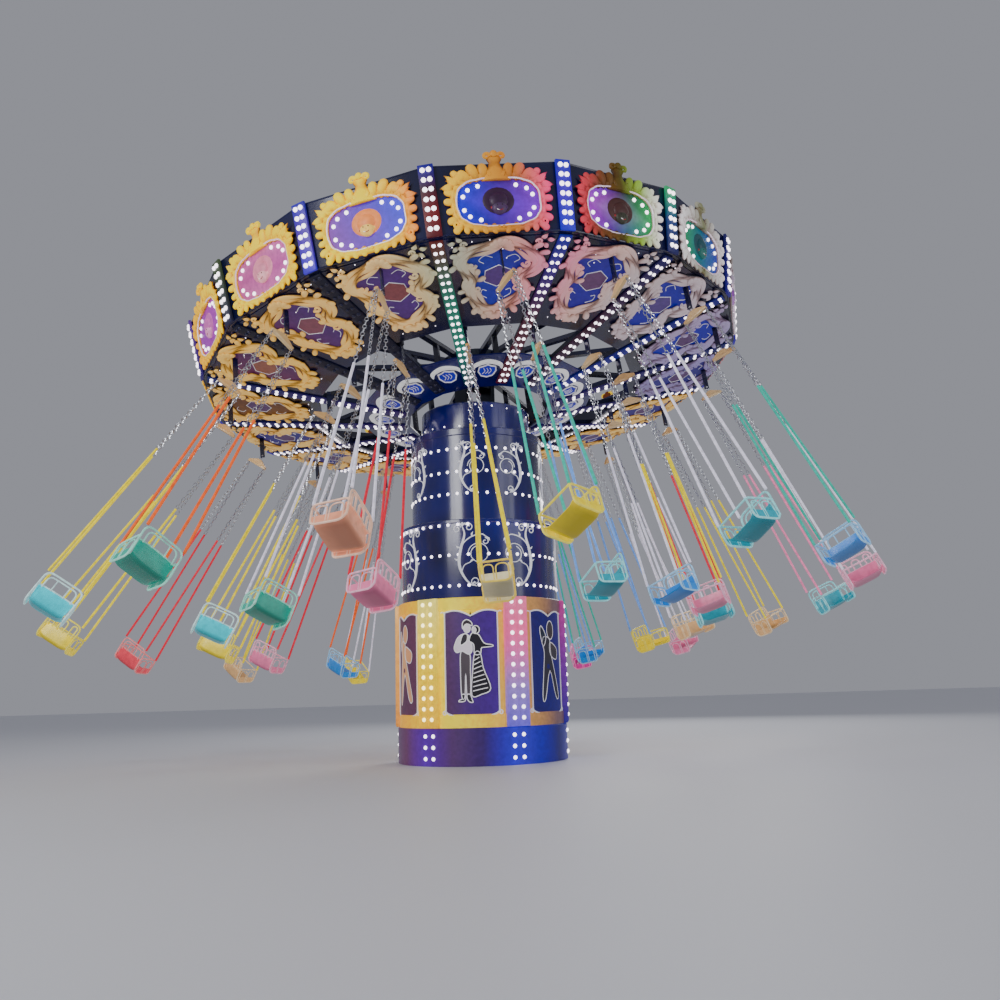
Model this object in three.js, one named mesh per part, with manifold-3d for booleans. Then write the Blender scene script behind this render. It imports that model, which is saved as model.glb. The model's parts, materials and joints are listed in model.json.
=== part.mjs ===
// Chair swing ride: a telescoping column on a round drum carries a tilted, turning
// canopy with a decorated crown, and two rings of single chairs fly out on chains.
// Millimetres, +Z up, the origin on the floor at the middle of the base. The side
// that is seen in the usual view faces -Y. Azimuths start at -Y and grow towards +X.

import * as THREE from 'three';
import { mergeVertices } from 'three/addons/utils/BufferGeometryUtils.js';
import Module from 'manifold-3d';

// Driving dimensions
const RUNNING_GAP = 0.6;         // radial clearance of the column's guide and the slewing ring
const PIN_GAP = 0.3;             // radial clearance of the chair pins in their eyes
const SEAT_GAP = 0.3;            // between pieces that are bolted together
const SECTORS = 16;
const FIRST_ARM = -5.6;          // azimuth of arm 0, degrees
const SECTOR = 360 / SECTORS;

const BASE_RADIUS = 1115;
const PLINTH_HEIGHT = 455;
const DRUM_TOP = 2050;
const DRUM_FIELD_RADIUS = 1075;
const BAND_RADIUS = 1095;
const BAND_HEIGHT = 150;
const BAND_SLOPE = 15;           // height of the sloping edge between a band and the picture fields
const PILASTERS = 6;
const FIRST_PILASTER = -36.5;
const PILASTER_WIDTH = 300;
const PILASTER_FACE = 1135;      // distance of its flat front from the axis

const LOWER_RADIUS = 1045;
const LOWER_TOP = 3050;
const LOWER_WALL = 60;
const GUIDE_HEIGHT = 120;
const UPPER_RADIUS = 900;
const UPPER_FOOT = 2610;
const UPPER_TOP = 4300;
const COLLAR_RADIUS = 750;
const COLLAR_TOP = 4700;
const COLUMN_SIDES = 32;

const PIVOT_HEIGHT = 5200;       // the tilt pin, at the middle of the rim plane
const TILT = 9;                  // degrees at rest
const UPHILL = 38.7;             // azimuth of the canopy's high side
const TILT_PIN_RADIUS = 60;
const PIN_SIDES = 16;
const EAR_WIDTH = 240;
const EAR_THICKNESS = 70;
const EAR_OFFSET = 230;          // middle of each ear from the axis, along the pin

const FLANGE_LEVEL = 170;        // top of the slewing flange above the rim plane
const FLANGE_RADIUS = 330;
const FLANGE_THICKNESS = 40;
const STUB_RADIUS = 140;
const HUB_RADIUS = 470;
const HUB_HEIGHT = 130;
const RIM_RADIUS = 3690;
const CROWN_LEAN = 0.176;        // outward per unit of height
const BOARD_HEIGHT = 790;
const BOARD_THICKNESS = 40;
const LIGHT_BOX = { width: 170, depth: 60, height: 815, sunk: 25 };
const CARTOUCHE = { width: 1180, low: 45, shoulder: 640, step: 130, crest: 950, depth: 45, sunk: 10 };

const CONE_RADIUS = 980;         // the hole round the column top
const CONE_DROP = 520;           // how far the underside falls from the rim to there
const CONE_OUTER = 1640;
const SOFFIT_INNER = 2210;
const SKIN = 20;
const ARM_WIDTH = 90;
const ARM_DEPTH = 60;
const ARM_TOP = 270;
const BEAM_DEPTH = 50;           // of the struts and of the beams between the arms
const RIM_BEAM = 50;
const RIM_PLAY = 1.8;            // a board has leaned out by this, less a gap, at the rim beam's foot
const CORNER_REACH = 1.03;       // the underside's corners lie out this much further than its sides

const OUTER_RING = { radius: 3395, level: -330, chains: 3455, flare: 28.9, at: 0.5 };
const INNER_RING = { radius: 2105, level: -480, chains: 3250, flare: 20.8, at: 0.12 };
const FLARE_SWING = 11.06;       // the flare changes by this much round the canopy
const FLARE_LEAST = 65.9;        // azimuth where it is least

const LINK = { pin: 22, inside: 24, outside: 52, width: 22, foot: -95 };   // square, through an eye
const EYE_SIDES = 8;
const EYE = { thickness: 20, width: 64, tip: 32 };
const BAR = { half: 165, end: 150, level: -150, width: 50, height: 36 };
const YOKE = { half: 26, crest: -68, thickness: 24 };   // the three-cornered plate on the bar
const CHAIN = 12;
const CHAINS = { top: 16, apex: 180 };   // half the width where two chains meet, and where they part
const TUBE = 22;
const RAIL = 14;                 // of the back's top rail and the guard bar in front of the sitter
const CHAIR = {
  width: 450, depth: 320, back: 200, frame: 355, guard: 235, panel: 95,
  low: 165, skin: 16, heel: 50, lip: 8, rise: 16,
};
const TURNED_CHAIR = 0;          // of the outer ring: its chains are wound a little
const TURN = 32;                 // degrees about the line of those chains

const HAIR = 0.0004;             // gap between two quarters of the canopy, as a share of a sector
const ARMS = Array.from({ length: SECTORS }, (_, k) => k);

const SEATS = {
  cyan: 0x35c6d6, yellow: 0xf2c91c, coral: 0xe0605e, teal: 0x1c9c94, peach: 0xe8a68c,
  blue: 0x2f86d6, pink: 0xe07aa0, magenta: 0xd03a90, tan: 0xd9b98c, cream: 0xefe0b0,
};
const SEAT_ORDER = {
  outer: 'yellow teal blue pink teal tan pink magenta blue yellow tan coral yellow cyan teal peach',
  inner: 'cream teal blue pink cyan tan yellow blue coral tan blue pink yellow cyan teal pink',
};

const wasm = await Module();
wasm.setup();

const radians = (degrees) => THREE.MathUtils.degToRad(degrees);
const vector = (x, y, z) => new THREE.Vector3(x, y, z);

// Shapes

function atAzimuth(degrees, radius, height) {
  const a = radians(degrees);
  return vector(radius * Math.sin(a), -radius * Math.cos(a), height);
}

function atArm(k, radius, height) {
  return atAzimuth(FIRST_ARM + k * SECTOR, radius, height);
}

function block(width, depth, height, x = 0, y = 0, z = 0) {
  return new THREE.BoxGeometry(width, depth, height).translate(x, y, z);
}

// A bar of rectangular section from a to b. Its width lies along side, which is level unless given.
function bar(a, b, width, height, side = vector(0, 0, 1).cross(b.clone().sub(a))) {
  const along = b.clone().sub(a).normalize();
  side.normalize();
  const turn = new THREE.Matrix4().makeBasis(along, side, along.clone().cross(side));
  const shape = new THREE.BoxGeometry(a.distanceTo(b), width, height);
  return shape.applyMatrix4(turn.setPosition(a.clone().lerp(b, 0.5)));
}

// A section of [radius, height] points, anticlockwise with the axis at the left, set up at each
// arm in ks and joined by straight facets. A closed ring has no ends.
function facetedRing(ks, section, closed = false) {
  const points = ks.flatMap((k) => section.map(([radius, height]) => atArm(k, radius, height)));
  const [n, count] = [section.length, ks.length];
  const index = [];
  for (let i = 0; i < (closed ? count : count - 1); i++) {
    for (let j = 0; j < n; j++) {
      const [a, b] = [i * n + j, i * n + (j + 1) % n];
      const [d, c] = [a, b].map((place) => (place + n) % points.length);
      index.push(a, c, b, a, d, c);
    }
  }
  for (let j = 2; j < n && !closed; j++) {
    const end = points.length - n;
    index.push(0, j - 1, j, end, end + j, end + j - 1);
  }
  const shape = new THREE.BufferGeometry();
  shape.setAttribute('position', new THREE.Float32BufferAttribute(points.flatMap((c) => c.toArray()), 3));
  return shape.setIndex(index);
}

function round(radius, low, high, sides = COLUMN_SIDES) {
  return new THREE.CylinderGeometry(radius, radius, high - low, sides)
    .rotateX(Math.PI / 2).translate(0, 0, (low + high) / 2);
}

function lathe(profile, sides = COLUMN_SIDES) {
  const points = profile.map(([r, z]) => new THREE.Vector2(r, z));
  return new THREE.LatheGeometry(points, sides).rotateX(Math.PI / 2);
}

function solid(shape) {
  if (shape instanceof wasm.Manifold) return shape;
  let bare = shape.clone();
  bare.deleteAttribute('normal');
  bare.deleteAttribute('uv');
  bare = mergeVertices(bare, 1e-3);
  return new wasm.Manifold(new wasm.Mesh({
    numProp: 3,
    vertProperties: Float32Array.from(bare.attributes.position.array),
    triVerts: Uint32Array.from(bare.index.array),
  }));
}

const join = (...shapes) => shapes.flat().map(solid).reduce((a, b) => a.add(b));
const cut = (shape, ...tools) => tools.flat().map(solid).reduce((a, b) => a.subtract(b), solid(shape));

function toGeometry(shape) {
  if (!(shape instanceof wasm.Manifold)) return shape;
  const { vertProperties, triVerts } = shape.asOriginal().simplify(0.01).getMesh();
  const geometry = new THREE.BufferGeometry();
  geometry.setAttribute('position', new THREE.Float32BufferAttribute(vertProperties, 3));
  geometry.setIndex(Array.from(triVerts));
  const flat = geometry.toNonIndexed();
  flat.computeVertexNormals();
  return flat;
}

function piece(name, shape, color, roughness = 0.4, metalness = 0.1) {
  const material = new THREE.MeshStandardMaterial({ color, roughness, metalness });
  const mesh = new THREE.Mesh(toGeometry(shape), material);
  mesh.name = name;
  return mesh;
}

// Base and column

function drumProfile(extra) {
  const [field, band] = [DRUM_FIELD_RADIUS + extra, BAND_RADIUS + extra];
  const low = PLINTH_HEIGHT + SEAT_GAP;
  return [
    [0, low], [band, low], [band, low + BAND_HEIGHT], [field, low + BAND_HEIGHT + BAND_SLOPE],
    [field, DRUM_TOP - BAND_HEIGHT - BAND_SLOPE], [band, DRUM_TOP - BAND_HEIGHT],
    [band, DRUM_TOP], [0, DRUM_TOP],
  ];
}

function pilaster(i) {
  const depth = 120;
  const height = DRUM_TOP - PLINTH_HEIGHT - SEAT_GAP;
  const middle = PLINTH_HEIGHT + SEAT_GAP + height / 2;
  const post = block(PILASTER_WIDTH, depth, height, 0, -(PILASTER_FACE - depth / 2), middle);
  return cut(post.rotateZ(radians(FIRST_PILASTER + i * 360 / PILASTERS)), lathe(drumProfile(SEAT_GAP)));
}

function lowerColumn() {
  const low = DRUM_TOP + SEAT_GAP;
  const inside = LOWER_RADIUS - LOWER_WALL;
  const guide = UPPER_RADIUS + RUNNING_GAP;
  return lathe([
    [inside, low], [LOWER_RADIUS, low], [LOWER_RADIUS, LOWER_TOP], [guide, LOWER_TOP],
    [guide, LOWER_TOP - GUIDE_HEIGHT], [inside, LOWER_TOP - GUIDE_HEIGHT], [inside, low],
  ]);
}

function upperColumn() {
  return lathe([
    [0, UPPER_FOOT], [UPPER_RADIUS, UPPER_FOOT], [UPPER_RADIUS, UPPER_TOP], [COLLAR_RADIUS, UPPER_TOP],
    [COLLAR_RADIUS, COLLAR_TOP], [0, COLLAR_TOP],
  ]);
}

// The tilt pin lies along X here. The two ears stand on the collar's top.
function tiltBearing() {
  const [foot, thick, border] = [COLLAR_TOP + SEAT_GAP, 40, 30];
  const across = (radius, length) => new THREE.CylinderGeometry(radius, radius, length, PIN_SIDES)
    .rotateZ(Math.PI / 2).translate(0, 0, PIVOT_HEIGHT);
  const bore = (TILT_PIN_RADIUS + RUNNING_GAP) / Math.cos(Math.PI / PIN_SIDES);
  const ears = [-1, 1].map((side) => join(
    block(EAR_THICKNESS, EAR_WIDTH, PIVOT_HEIGHT - foot, side * EAR_OFFSET, 0, (PIVOT_HEIGHT + foot) / 2),
    across(EAR_WIDTH / 2, EAR_THICKNESS).translate(side * EAR_OFFSET, 0, 0),
  ));
  const width = 2 * EAR_OFFSET + EAR_THICKNESS + 2 * border;
  const plate = block(width, EAR_WIDTH + 2 * border, thick, 0, 0, foot + thick / 2);
  return cut(join(plate, ears), across(bore, width));
}

// In the canopy's own frame: the rim plane is z = 0, and the tilt pin lies along X.
function tiltHead() {
  const [size, neck, beyond, play] = [200, 150, 30, 10];
  const length = 2 * EAR_OFFSET + EAR_THICKNESS + 2 * beyond;
  const radius = TILT_PIN_RADIUS;
  const pin = new THREE.CylinderGeometry(radius, radius, length, PIN_SIDES).rotateZ(Math.PI / 2);
  const body = block(2 * EAR_OFFSET - EAR_THICKNESS - 2 * play, size, size);
  const [foot, top] = [FLANGE_LEVEL - FLANGE_THICKNESS, FLANGE_LEVEL + HUB_HEIGHT + 4 * play];
  return join(pin, body, lathe([
    [0, size / 4], [neck, size / 4], [neck, foot], [FLANGE_RADIUS, foot], [FLANGE_RADIUS, FLANGE_LEVEL],
    [STUB_RADIUS, FLANGE_LEVEL], [STUB_RADIUS, top], [0, top],
  ], 24));
}

// Canopy, in its own frame

// How far a chair of a ring flies out at arm position k, in degrees from the canopy's axis
function flareAt(k, ring) {
  return ring.flare - FLARE_SWING * Math.cos(radians(FIRST_ARM + k * SECTOR - FLARE_LEAST));
}

const coneHeight = (radius) => -CONE_DROP * (RIM_RADIUS - radius) / (RIM_RADIUS - CONE_RADIUS);
const CONE_SLOPE = CONE_DROP / (RIM_RADIUS - CONE_RADIUS);

// The middle of a bar that lies on the panels. They rise towards its edges, less across an arm.
const ridge = (ARM_WIDTH / 2) * Math.tan(radians(SECTOR / 2)) * CONE_SLOPE;
const chordHeight = (radius) =>
  coneHeight(radius) + SKIN + ridge + Math.hypot(1, CONE_SLOPE) * ARM_DEPTH / 2;
const beamHeight = (radius, width) =>
  coneHeight(radius) + SKIN + (width / 2) * CORNER_REACH * CONE_SLOPE + BEAM_DEPTH / 2;
const rimBeamRadius =
  RIM_RADIUS - BOARD_THICKNESS - RIM_BEAM / 2 / Math.cos(radians(SECTOR / 2)) + RIM_PLAY;

function hub() {
  const low = FLANGE_LEVEL + SEAT_GAP;
  const bore = (STUB_RADIUS + RUNNING_GAP) / Math.cos(Math.PI / COLUMN_SIDES);
  return lathe([
    [bore, low], [HUB_RADIUS, low], [HUB_RADIUS, low + HUB_HEIGHT], [bore, low + HUB_HEIGHT], [bore, low],
  ]).rotateZ(radians(FIRST_ARM));
}

// One arm is a light truss: a chord along the underside, a sloping chord on top and a strut.
function arm(k) {
  const rim = rimBeamRadius;
  const low = (radius) => atArm(k, radius, chordHeight(radius));
  const [peak, foot] = [ARM_TOP - ARM_DEPTH / 2, chordHeight(rim) + ARM_DEPTH];
  const high = (radius) => atArm(k, radius, THREE.MathUtils.mapLinear(radius, HUB_RADIUS, rim, peak, foot));
  const start = HUB_RADIUS + SEAT_GAP + 2;
  const across = atArm(k + SECTORS / 4, 1, 0);
  return [
    bar(low(CONE_RADIUS), low(rim), ARM_WIDTH, ARM_DEPTH),
    bar(high(start), high(rim), ARM_WIDTH - 10, ARM_DEPTH),
    bar(low(CONE_RADIUS + BEAM_DEPTH), high(CONE_RADIUS + BEAM_DEPTH), ARM_WIDTH - 20, BEAM_DEPTH, across),
  ];
}

function hangerEye(k, ring, top) {
  const low = ring.level - EYE.tip;
  const plate = block(EYE.width, EYE.thickness, top - low).rotateZ(radians(FIRST_ARM + k * SECTOR - 90));
  return plate.translate(...atArm(k, ring.radius, (top + low) / 2).toArray());
}

function pinHole(k, ring) {
  const radius = (LINK.pin / Math.SQRT2 + PIN_GAP) / Math.cos(Math.PI / EYE_SIDES);
  return new THREE.CylinderGeometry(radius, radius, 3 * EYE.thickness, EYE_SIDES)
    .rotateY(Math.PI / EYE_SIDES - radians(flareAt(k, ring)))
    .rotateZ(radians(FIRST_ARM + k * SECTOR - 90))
    .translate(...atArm(k, ring.radius, ring.level).toArray());
}

// The chair rings hang from beams between the arms, outside, and from short cross arms, inside.
function crossBeam(k, radius, width, share) {
  const height = beamHeight(radius, width);
  const [start, end] = [atArm(k, radius, height), atArm(k + 1, radius, height)];
  return bar(start, start.clone().lerp(end, share), width, BEAM_DEPTH);
}

function innerCrossArm(k) {
  const { radius, at } = INNER_RING;
  const height = chordHeight(radius);
  return bar(atArm(k, radius, height), atArm(k + 1.25 * at, radius, height), EYE.width - 10, BEAM_DEPTH);
}

// Four arms with the beams that reach on to the next quarter's first arm
function armQuarter(q) {
  const ks = [0, 1, 2, 3].map((i) => 4 * q + i);
  const corner = OUTER_RING.radius / Math.cos(radians(SECTOR / 2));
  const play = 12;
  const short = 1 - (ARM_WIDTH / 2 + play) / radians(SECTOR) / corner;
  const frame = join(ks.flatMap((k, i) => [
    ...arm(k),
    crossBeam(k, rimBeamRadius, RIM_BEAM, i === 3 ? short : 1),
    crossBeam(k, corner, ARM_WIDTH - 10, i === 3 ? short : 1),
    hangerEye(k + OUTER_RING.at, OUTER_RING, chordHeight(OUTER_RING.radius)),
    innerCrossArm(k),
    hangerEye(k + INNER_RING.at, INNER_RING, chordHeight(INNER_RING.radius)),
  ]));
  return cut(frame, ks.flatMap((k) => [
    pinHole(k + OUTER_RING.at, OUTER_RING), pinHole(k + INNER_RING.at, INNER_RING),
  ]));
}

// The section of the underside's thin panels between two radii
function underside(inner, outer) {
  const raise = SKIN - SEAT_GAP;
  return [
    [inner, coneHeight(inner)], [outer, coneHeight(outer)],
    [outer, coneHeight(outer) + raise], [inner, coneHeight(inner) + raise],
  ];
}

function soffitQuarter(q) {
  const ks = [0, 1, 2, 3].map((i) => 4 * q + i);
  const play = 5;
  const slots = ks.map((k) => {
    const azimuth = FIRST_ARM + (k + OUTER_RING.at) * SECTOR;
    const middle = atAzimuth(azimuth, OUTER_RING.radius, coneHeight(OUTER_RING.radius));
    const slot = block(EYE.width + 2 * play, EYE.thickness + 2 * play, 10 * SKIN);
    return slot.rotateZ(radians(azimuth - 90)).translate(...middle.toArray());
  });
  const outer = RIM_RADIUS - BOARD_THICKNESS - play / 2;
  return cut(facetedRing([...ks, 4 * q + 4 - HAIR], underside(SOFFIT_INNER, outer)), slots);
}

function coneCollar() {
  return facetedRing(ARMS, underside(CONE_RADIUS, CONE_OUTER), true);
}

function crownBoards(ks) {
  const lean = CROWN_LEAN * BOARD_HEIGHT;
  const [inner, outer] = [RIM_RADIUS - BOARD_THICKNESS, RIM_RADIUS];
  const top = BOARD_HEIGHT;
  return facetedRing(ks, [[inner, 0], [outer, 0], [outer + lean, top], [inner + lean, top]]);
}

// The light box that covers the joint of two boards, with extra width for the cut in the next quarter
function lightBox(k, extra = 0) {
  const { width, depth, height, sunk } = LIGHT_BOX;
  const box = block(width + 2 * extra, depth + 2 * extra, height, 0, 0, height / 2);
  const lean = new THREE.Matrix4().makeShear(0, 0, 0, 0, 0, -CROWN_LEAN);
  box.applyMatrix4(lean).translate(0, -(RIM_RADIUS + depth / 2 - sunk), 0);
  return box.rotateZ(radians(FIRST_ARM + k * SECTOR));
}

// The gilded frame on a board, cut out as one plate with a crest that rises over the board
function cartouche(k) {
  const { width, low, shoulder, step, crest, depth, sunk } = CARTOUCHE;
  const outline = new THREE.Shape();
  outline.moveTo(-0.36 * width, low);
  outline.lineTo(0.36 * width, low);
  outline.quadraticCurveTo(0.5 * width, low + sunk * 6, 0.5 * width, (low + shoulder) / 2);
  outline.lineTo(0.44 * width, shoulder);
  outline.lineTo(0.2 * width, shoulder + step);
  outline.lineTo(0.08 * width, crest);
  outline.lineTo(-0.08 * width, crest);
  outline.lineTo(-0.2 * width, shoulder + step);
  outline.lineTo(-0.44 * width, shoulder);
  outline.lineTo(-0.5 * width, (low + shoulder) / 2);
  outline.quadraticCurveTo(-0.5 * width, low + sunk * 6, -0.36 * width, low);
  const curves = { depth: depth + sunk, bevelEnabled: false, curveSegments: 3 };
  const plate = new THREE.ExtrudeGeometry(outline, curves);
  const middle = RIM_RADIUS * Math.cos(radians(SECTOR / 2));
  plate.rotateX(Math.PI / 2).translate(0, sunk, 0);
  plate.rotateX(Math.atan(CROWN_LEAN * Math.cos(radians(SECTOR / 2)))).translate(0, -middle, 0);
  return plate.rotateZ(radians(FIRST_ARM + (k + 0.5) * SECTOR));
}

function crownQuarter(q) {
  const ks = [0, 1, 2, 3].map((i) => 4 * q + i);
  const boards = crownBoards([...ks, 4 * q + 4 - HAIR]);
  return join(cut(boards, lightBox(4 * q + 4, SEAT_GAP)), ks.map((k) => lightBox(k)), ks.map(cartouche));
}

// Chairs: the origin is the pin, x points away from the canopy's axis, and the sitter faces -y

// The seat and the solid lower half of the back, bent from one sheet
function seatShell(low) {
  const { width, depth, back, skin, heel, lip, rise } = CHAIR;
  const half = depth / 2 - lip;
  const side = new THREE.Shape();
  side.moveTo(half, low + back);
  side.lineTo(half - skin, low + back);
  side.lineTo(half - heel - skin, low + skin);
  side.lineTo(-half, low + skin + rise);
  side.lineTo(-half, low + rise);
  side.lineTo(half - heel, low);
  side.lineTo(half, low + heel);
  side.closePath();
  const shell = new THREE.ExtrudeGeometry(side, { depth: width - TUBE, bevelEnabled: false });
  return shell.rotateX(Math.PI / 2).rotateZ(Math.PI / 2).translate(-(width - TUBE) / 2, 0, 0);
}

// One side of a chair: its low solid panel, the arm over it, the post of the back, and the two
// chains that run together at the end of the hanger bar. It leans in towards the top.
function chairSide(low, side) {
  const { width, depth, guard, frame, panel, heel, lip } = CHAIR;
  const half = depth / 2;
  const top = BAR.level;
  const outline = new THREE.Shape();
  outline.moveTo(half - heel, low - lip);
  outline.lineTo(half, low + heel - lip);
  outline.lineTo(half + TUBE, low + frame);
  outline.lineTo(CHAINS.top, top);
  outline.lineTo(-CHAINS.top, top);
  outline.lineTo(-half - TUBE, low + guard);
  outline.lineTo(-half, low + lip);
  const between = new THREE.Path();
  between.moveTo(0, top - CHAINS.apex);
  between.lineTo(half + TUBE - CHAIN, low + frame);
  between.lineTo(half - lip, low + guard);
  between.lineTo(CHAIN - half - TUBE, low + guard + lip);
  const opening = new THREE.Path();
  opening.moveTo(half - TUBE, low + panel);
  opening.lineTo(half - TUBE, low + guard - TUBE);
  opening.lineTo(-half, low + guard - TUBE);
  opening.lineTo(-half + TUBE, low + panel);
  outline.holes.push(between, opening);
  const plate = new THREE.ExtrudeGeometry(outline, { depth: TUBE, bevelEnabled: false });
  plate.rotateX(Math.PI / 2).rotateZ(Math.PI / 2).translate(-TUBE / 2, 0, 0);
  const foot = (width - TUBE) / 2;
  const lean = (foot - BAR.end) / (top - low - guard);
  const places = plate.attributes.position;
  for (let i = 0; i < places.count; i++) {
    const above = Math.max(0, places.getZ(i) - low - guard);
    places.setX(i, places.getX(i) + side * (foot - lean * above));
  }
  return plate;
}

// The square link that joins the yoke to its eye. Its upper bar is the pin.
function link() {
  const [inside, outside, half] = [LINK.inside / 2, LINK.outside / 2, LINK.pin / 2];
  const holeFoot = LINK.foot + BAR.height / 2 + inside;
  const outline = new THREE.Shape();
  outline.moveTo(-outside, LINK.foot);
  outline.lineTo(outside, LINK.foot);
  outline.lineTo(outside, half);
  outline.lineTo(-outside, half);
  const hole = new THREE.Path();
  hole.moveTo(-inside, -half);
  hole.lineTo(inside, -half);
  hole.lineTo(inside, holeFoot);
  hole.lineTo(-inside, holeFoot);
  outline.holes.push(hole);
  const frame = new THREE.ExtrudeGeometry(outline, { depth: LINK.width, bevelEnabled: false });
  return frame.rotateX(Math.PI / 2).rotateZ(Math.PI / 2).translate(-LINK.width / 2, 0, 0);
}

// The plate that spreads the pull of the link along the hanger bar
function yoke() {
  const outline = new THREE.Shape();
  outline.moveTo(-BAR.half, BAR.level);
  outline.lineTo(BAR.half, BAR.level);
  outline.lineTo(BAR.half, BAR.level + BAR.height / 2);
  outline.lineTo(YOKE.half, YOKE.crest);
  outline.lineTo(-YOKE.half, YOKE.crest);
  outline.lineTo(-BAR.half, BAR.level + BAR.height / 2);
  const plate = new THREE.ExtrudeGeometry(outline, { depth: YOKE.thickness, bevelEnabled: false });
  return plate.translate(0, 0, -YOKE.thickness / 2).rotateX(Math.PI / 2);
}

// Everything below the link takes the chair's turn about the line of its chains
function chair(ring, turn = 0) {
  const low = -(ring.chains + CHAIR.low);
  const x = (CHAIR.width - TUBE) / 2;
  const [back, front] = [(CHAIR.depth + TUBE) / 2 - 2, (CHAIR.depth + TUBE) / 2 - CHAIR.lip];
  const [guard, top] = [low + CHAIR.guard - RAIL, low + CHAIR.frame - RAIL];
  const hanging = [
    yoke(),
    block(2 * BAR.half, BAR.width, BAR.height, 0, 0, BAR.level),
    ...[-1, 1].map((side) => chairSide(low, side)),
    seatShell(low),
    bar(vector(-x, back, top), vector(x, back, top), RAIL, RAIL),
    bar(vector(-x, -front, guard), vector(x, -front, guard), RAIL, RAIL),
  ];
  return join(link(), hanging.map((shape) => shape.rotateZ(radians(turn))));
}

function hung(mesh, ring, i) {
  const k = i + ring.at;
  mesh.position.copy(atArm(k, ring.radius, ring.level));
  mesh.rotation.set(0, -radians(flareAt(k, ring)), radians(FIRST_ARM + k * SECTOR - 90), 'ZYX');
  return mesh;
}

// Assembly

const ride = new THREE.Group();
ride.add(piece('base_plinth', round(BASE_RADIUS, 0, PLINTH_HEIGHT), 0x241a3d));
ride.add(piece('base_drum', lathe(drumProfile(0)), 0xd9a13a));
for (let i = 0; i < PILASTERS; i++) ride.add(piece(`pilaster_${i + 1}`, pilaster(i), 0xe9b23c));
ride.add(piece('lower_column', lowerColumn(), 0x151a4a));
ride.add(piece('upper_column', upperColumn(), 0x151a4a));

// The tilt pin lies across the uphill direction.
const head = new THREE.Group();
head.rotation.z = radians(UPHILL);
ride.add(head);
head.add(piece('tilt_bearing', tiltBearing(), 0x30343c, 0.5, 0.6));

const tilted = new THREE.Group();
tilted.position.z = PIVOT_HEIGHT;
tilted.rotation.x = -radians(TILT);
head.add(tilted);
tilted.add(piece('tilt_head', tiltHead(), 0x4a4f59, 0.5, 0.6));

const canopy = new THREE.Group();
canopy.rotation.z = -radians(UPHILL);
tilted.add(canopy);
canopy.add(piece('canopy_hub', hub(), 0x2b2f6b, 0.4, 0.4));
canopy.add(piece('cone_collar', coneCollar(), 0x161a58));
for (let q = 0; q < 4; q++) {
  canopy.add(piece(`arm_frame_${q + 1}`, armQuarter(q), 0x1d2266, 0.4, 0.4));
  canopy.add(piece(`soffit_${q + 1}`, soffitQuarter(q), 0x23257a));
  canopy.add(piece(`crown_${q + 1}`, crownQuarter(q), 0xe0a52e));
}

for (const [name, ring] of [['outer', OUTER_RING], ['inner', INNER_RING]]) {
  const shapes = [0, TURN].map((turn) => toGeometry(chair(ring, turn)));
  const colours = SEAT_ORDER[name].split(' ');
  for (let i = 0; i < SECTORS; i++) {
    const shape = shapes[ring === OUTER_RING && i === TURNED_CHAIR ? 1 : 0].clone();
    canopy.add(hung(piece(`${name}_chair_${i + 1}`, shape, SEATS[colours[i]]), ring, i));
  }
}

export default ride;
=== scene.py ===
import json
import math
import random

import bmesh
import bpy
from mathutils import Matrix, Vector


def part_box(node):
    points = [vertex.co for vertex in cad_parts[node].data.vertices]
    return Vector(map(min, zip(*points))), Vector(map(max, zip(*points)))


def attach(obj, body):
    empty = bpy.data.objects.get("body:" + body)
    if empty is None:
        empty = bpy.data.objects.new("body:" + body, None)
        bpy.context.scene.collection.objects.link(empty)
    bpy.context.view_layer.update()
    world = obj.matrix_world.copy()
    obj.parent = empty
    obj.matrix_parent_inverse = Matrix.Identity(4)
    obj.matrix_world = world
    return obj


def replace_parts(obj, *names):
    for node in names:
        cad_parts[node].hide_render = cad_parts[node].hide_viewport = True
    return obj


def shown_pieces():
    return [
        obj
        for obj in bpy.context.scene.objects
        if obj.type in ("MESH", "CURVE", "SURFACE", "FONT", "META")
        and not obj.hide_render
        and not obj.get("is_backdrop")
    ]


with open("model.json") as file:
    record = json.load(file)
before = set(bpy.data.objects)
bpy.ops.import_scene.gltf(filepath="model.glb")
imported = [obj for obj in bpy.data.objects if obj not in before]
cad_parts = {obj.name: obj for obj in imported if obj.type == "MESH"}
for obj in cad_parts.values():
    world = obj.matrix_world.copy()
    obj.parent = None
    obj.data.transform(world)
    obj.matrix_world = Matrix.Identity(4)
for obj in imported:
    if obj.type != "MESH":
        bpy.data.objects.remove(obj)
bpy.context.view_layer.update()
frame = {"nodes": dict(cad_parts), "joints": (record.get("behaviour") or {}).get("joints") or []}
joints = {joint["name"]: joint for joint in frame["joints"]}
print("pieces of the frame:", len(frame["nodes"]), "joints:", len(joints))

# %% [markdown]
# ## The camera
# The picture was taken from a little below the height of a person's chest, looking up at the
# canopy with a wide lens. The camera comes first, because every later choice of detail depends
# on how large a thing shows. Its basis is built from pan, pitch and roll, in that order.
# %% Make the camera
EYE_HEIGHT = 0.907
DISTANCE = 13.0
PAN, PITCH, ROLL = (math.radians(angle) for angle in (-1.39, 11.23, 1.66))
LENS, SENSOR = 34.3, 36.0


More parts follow.
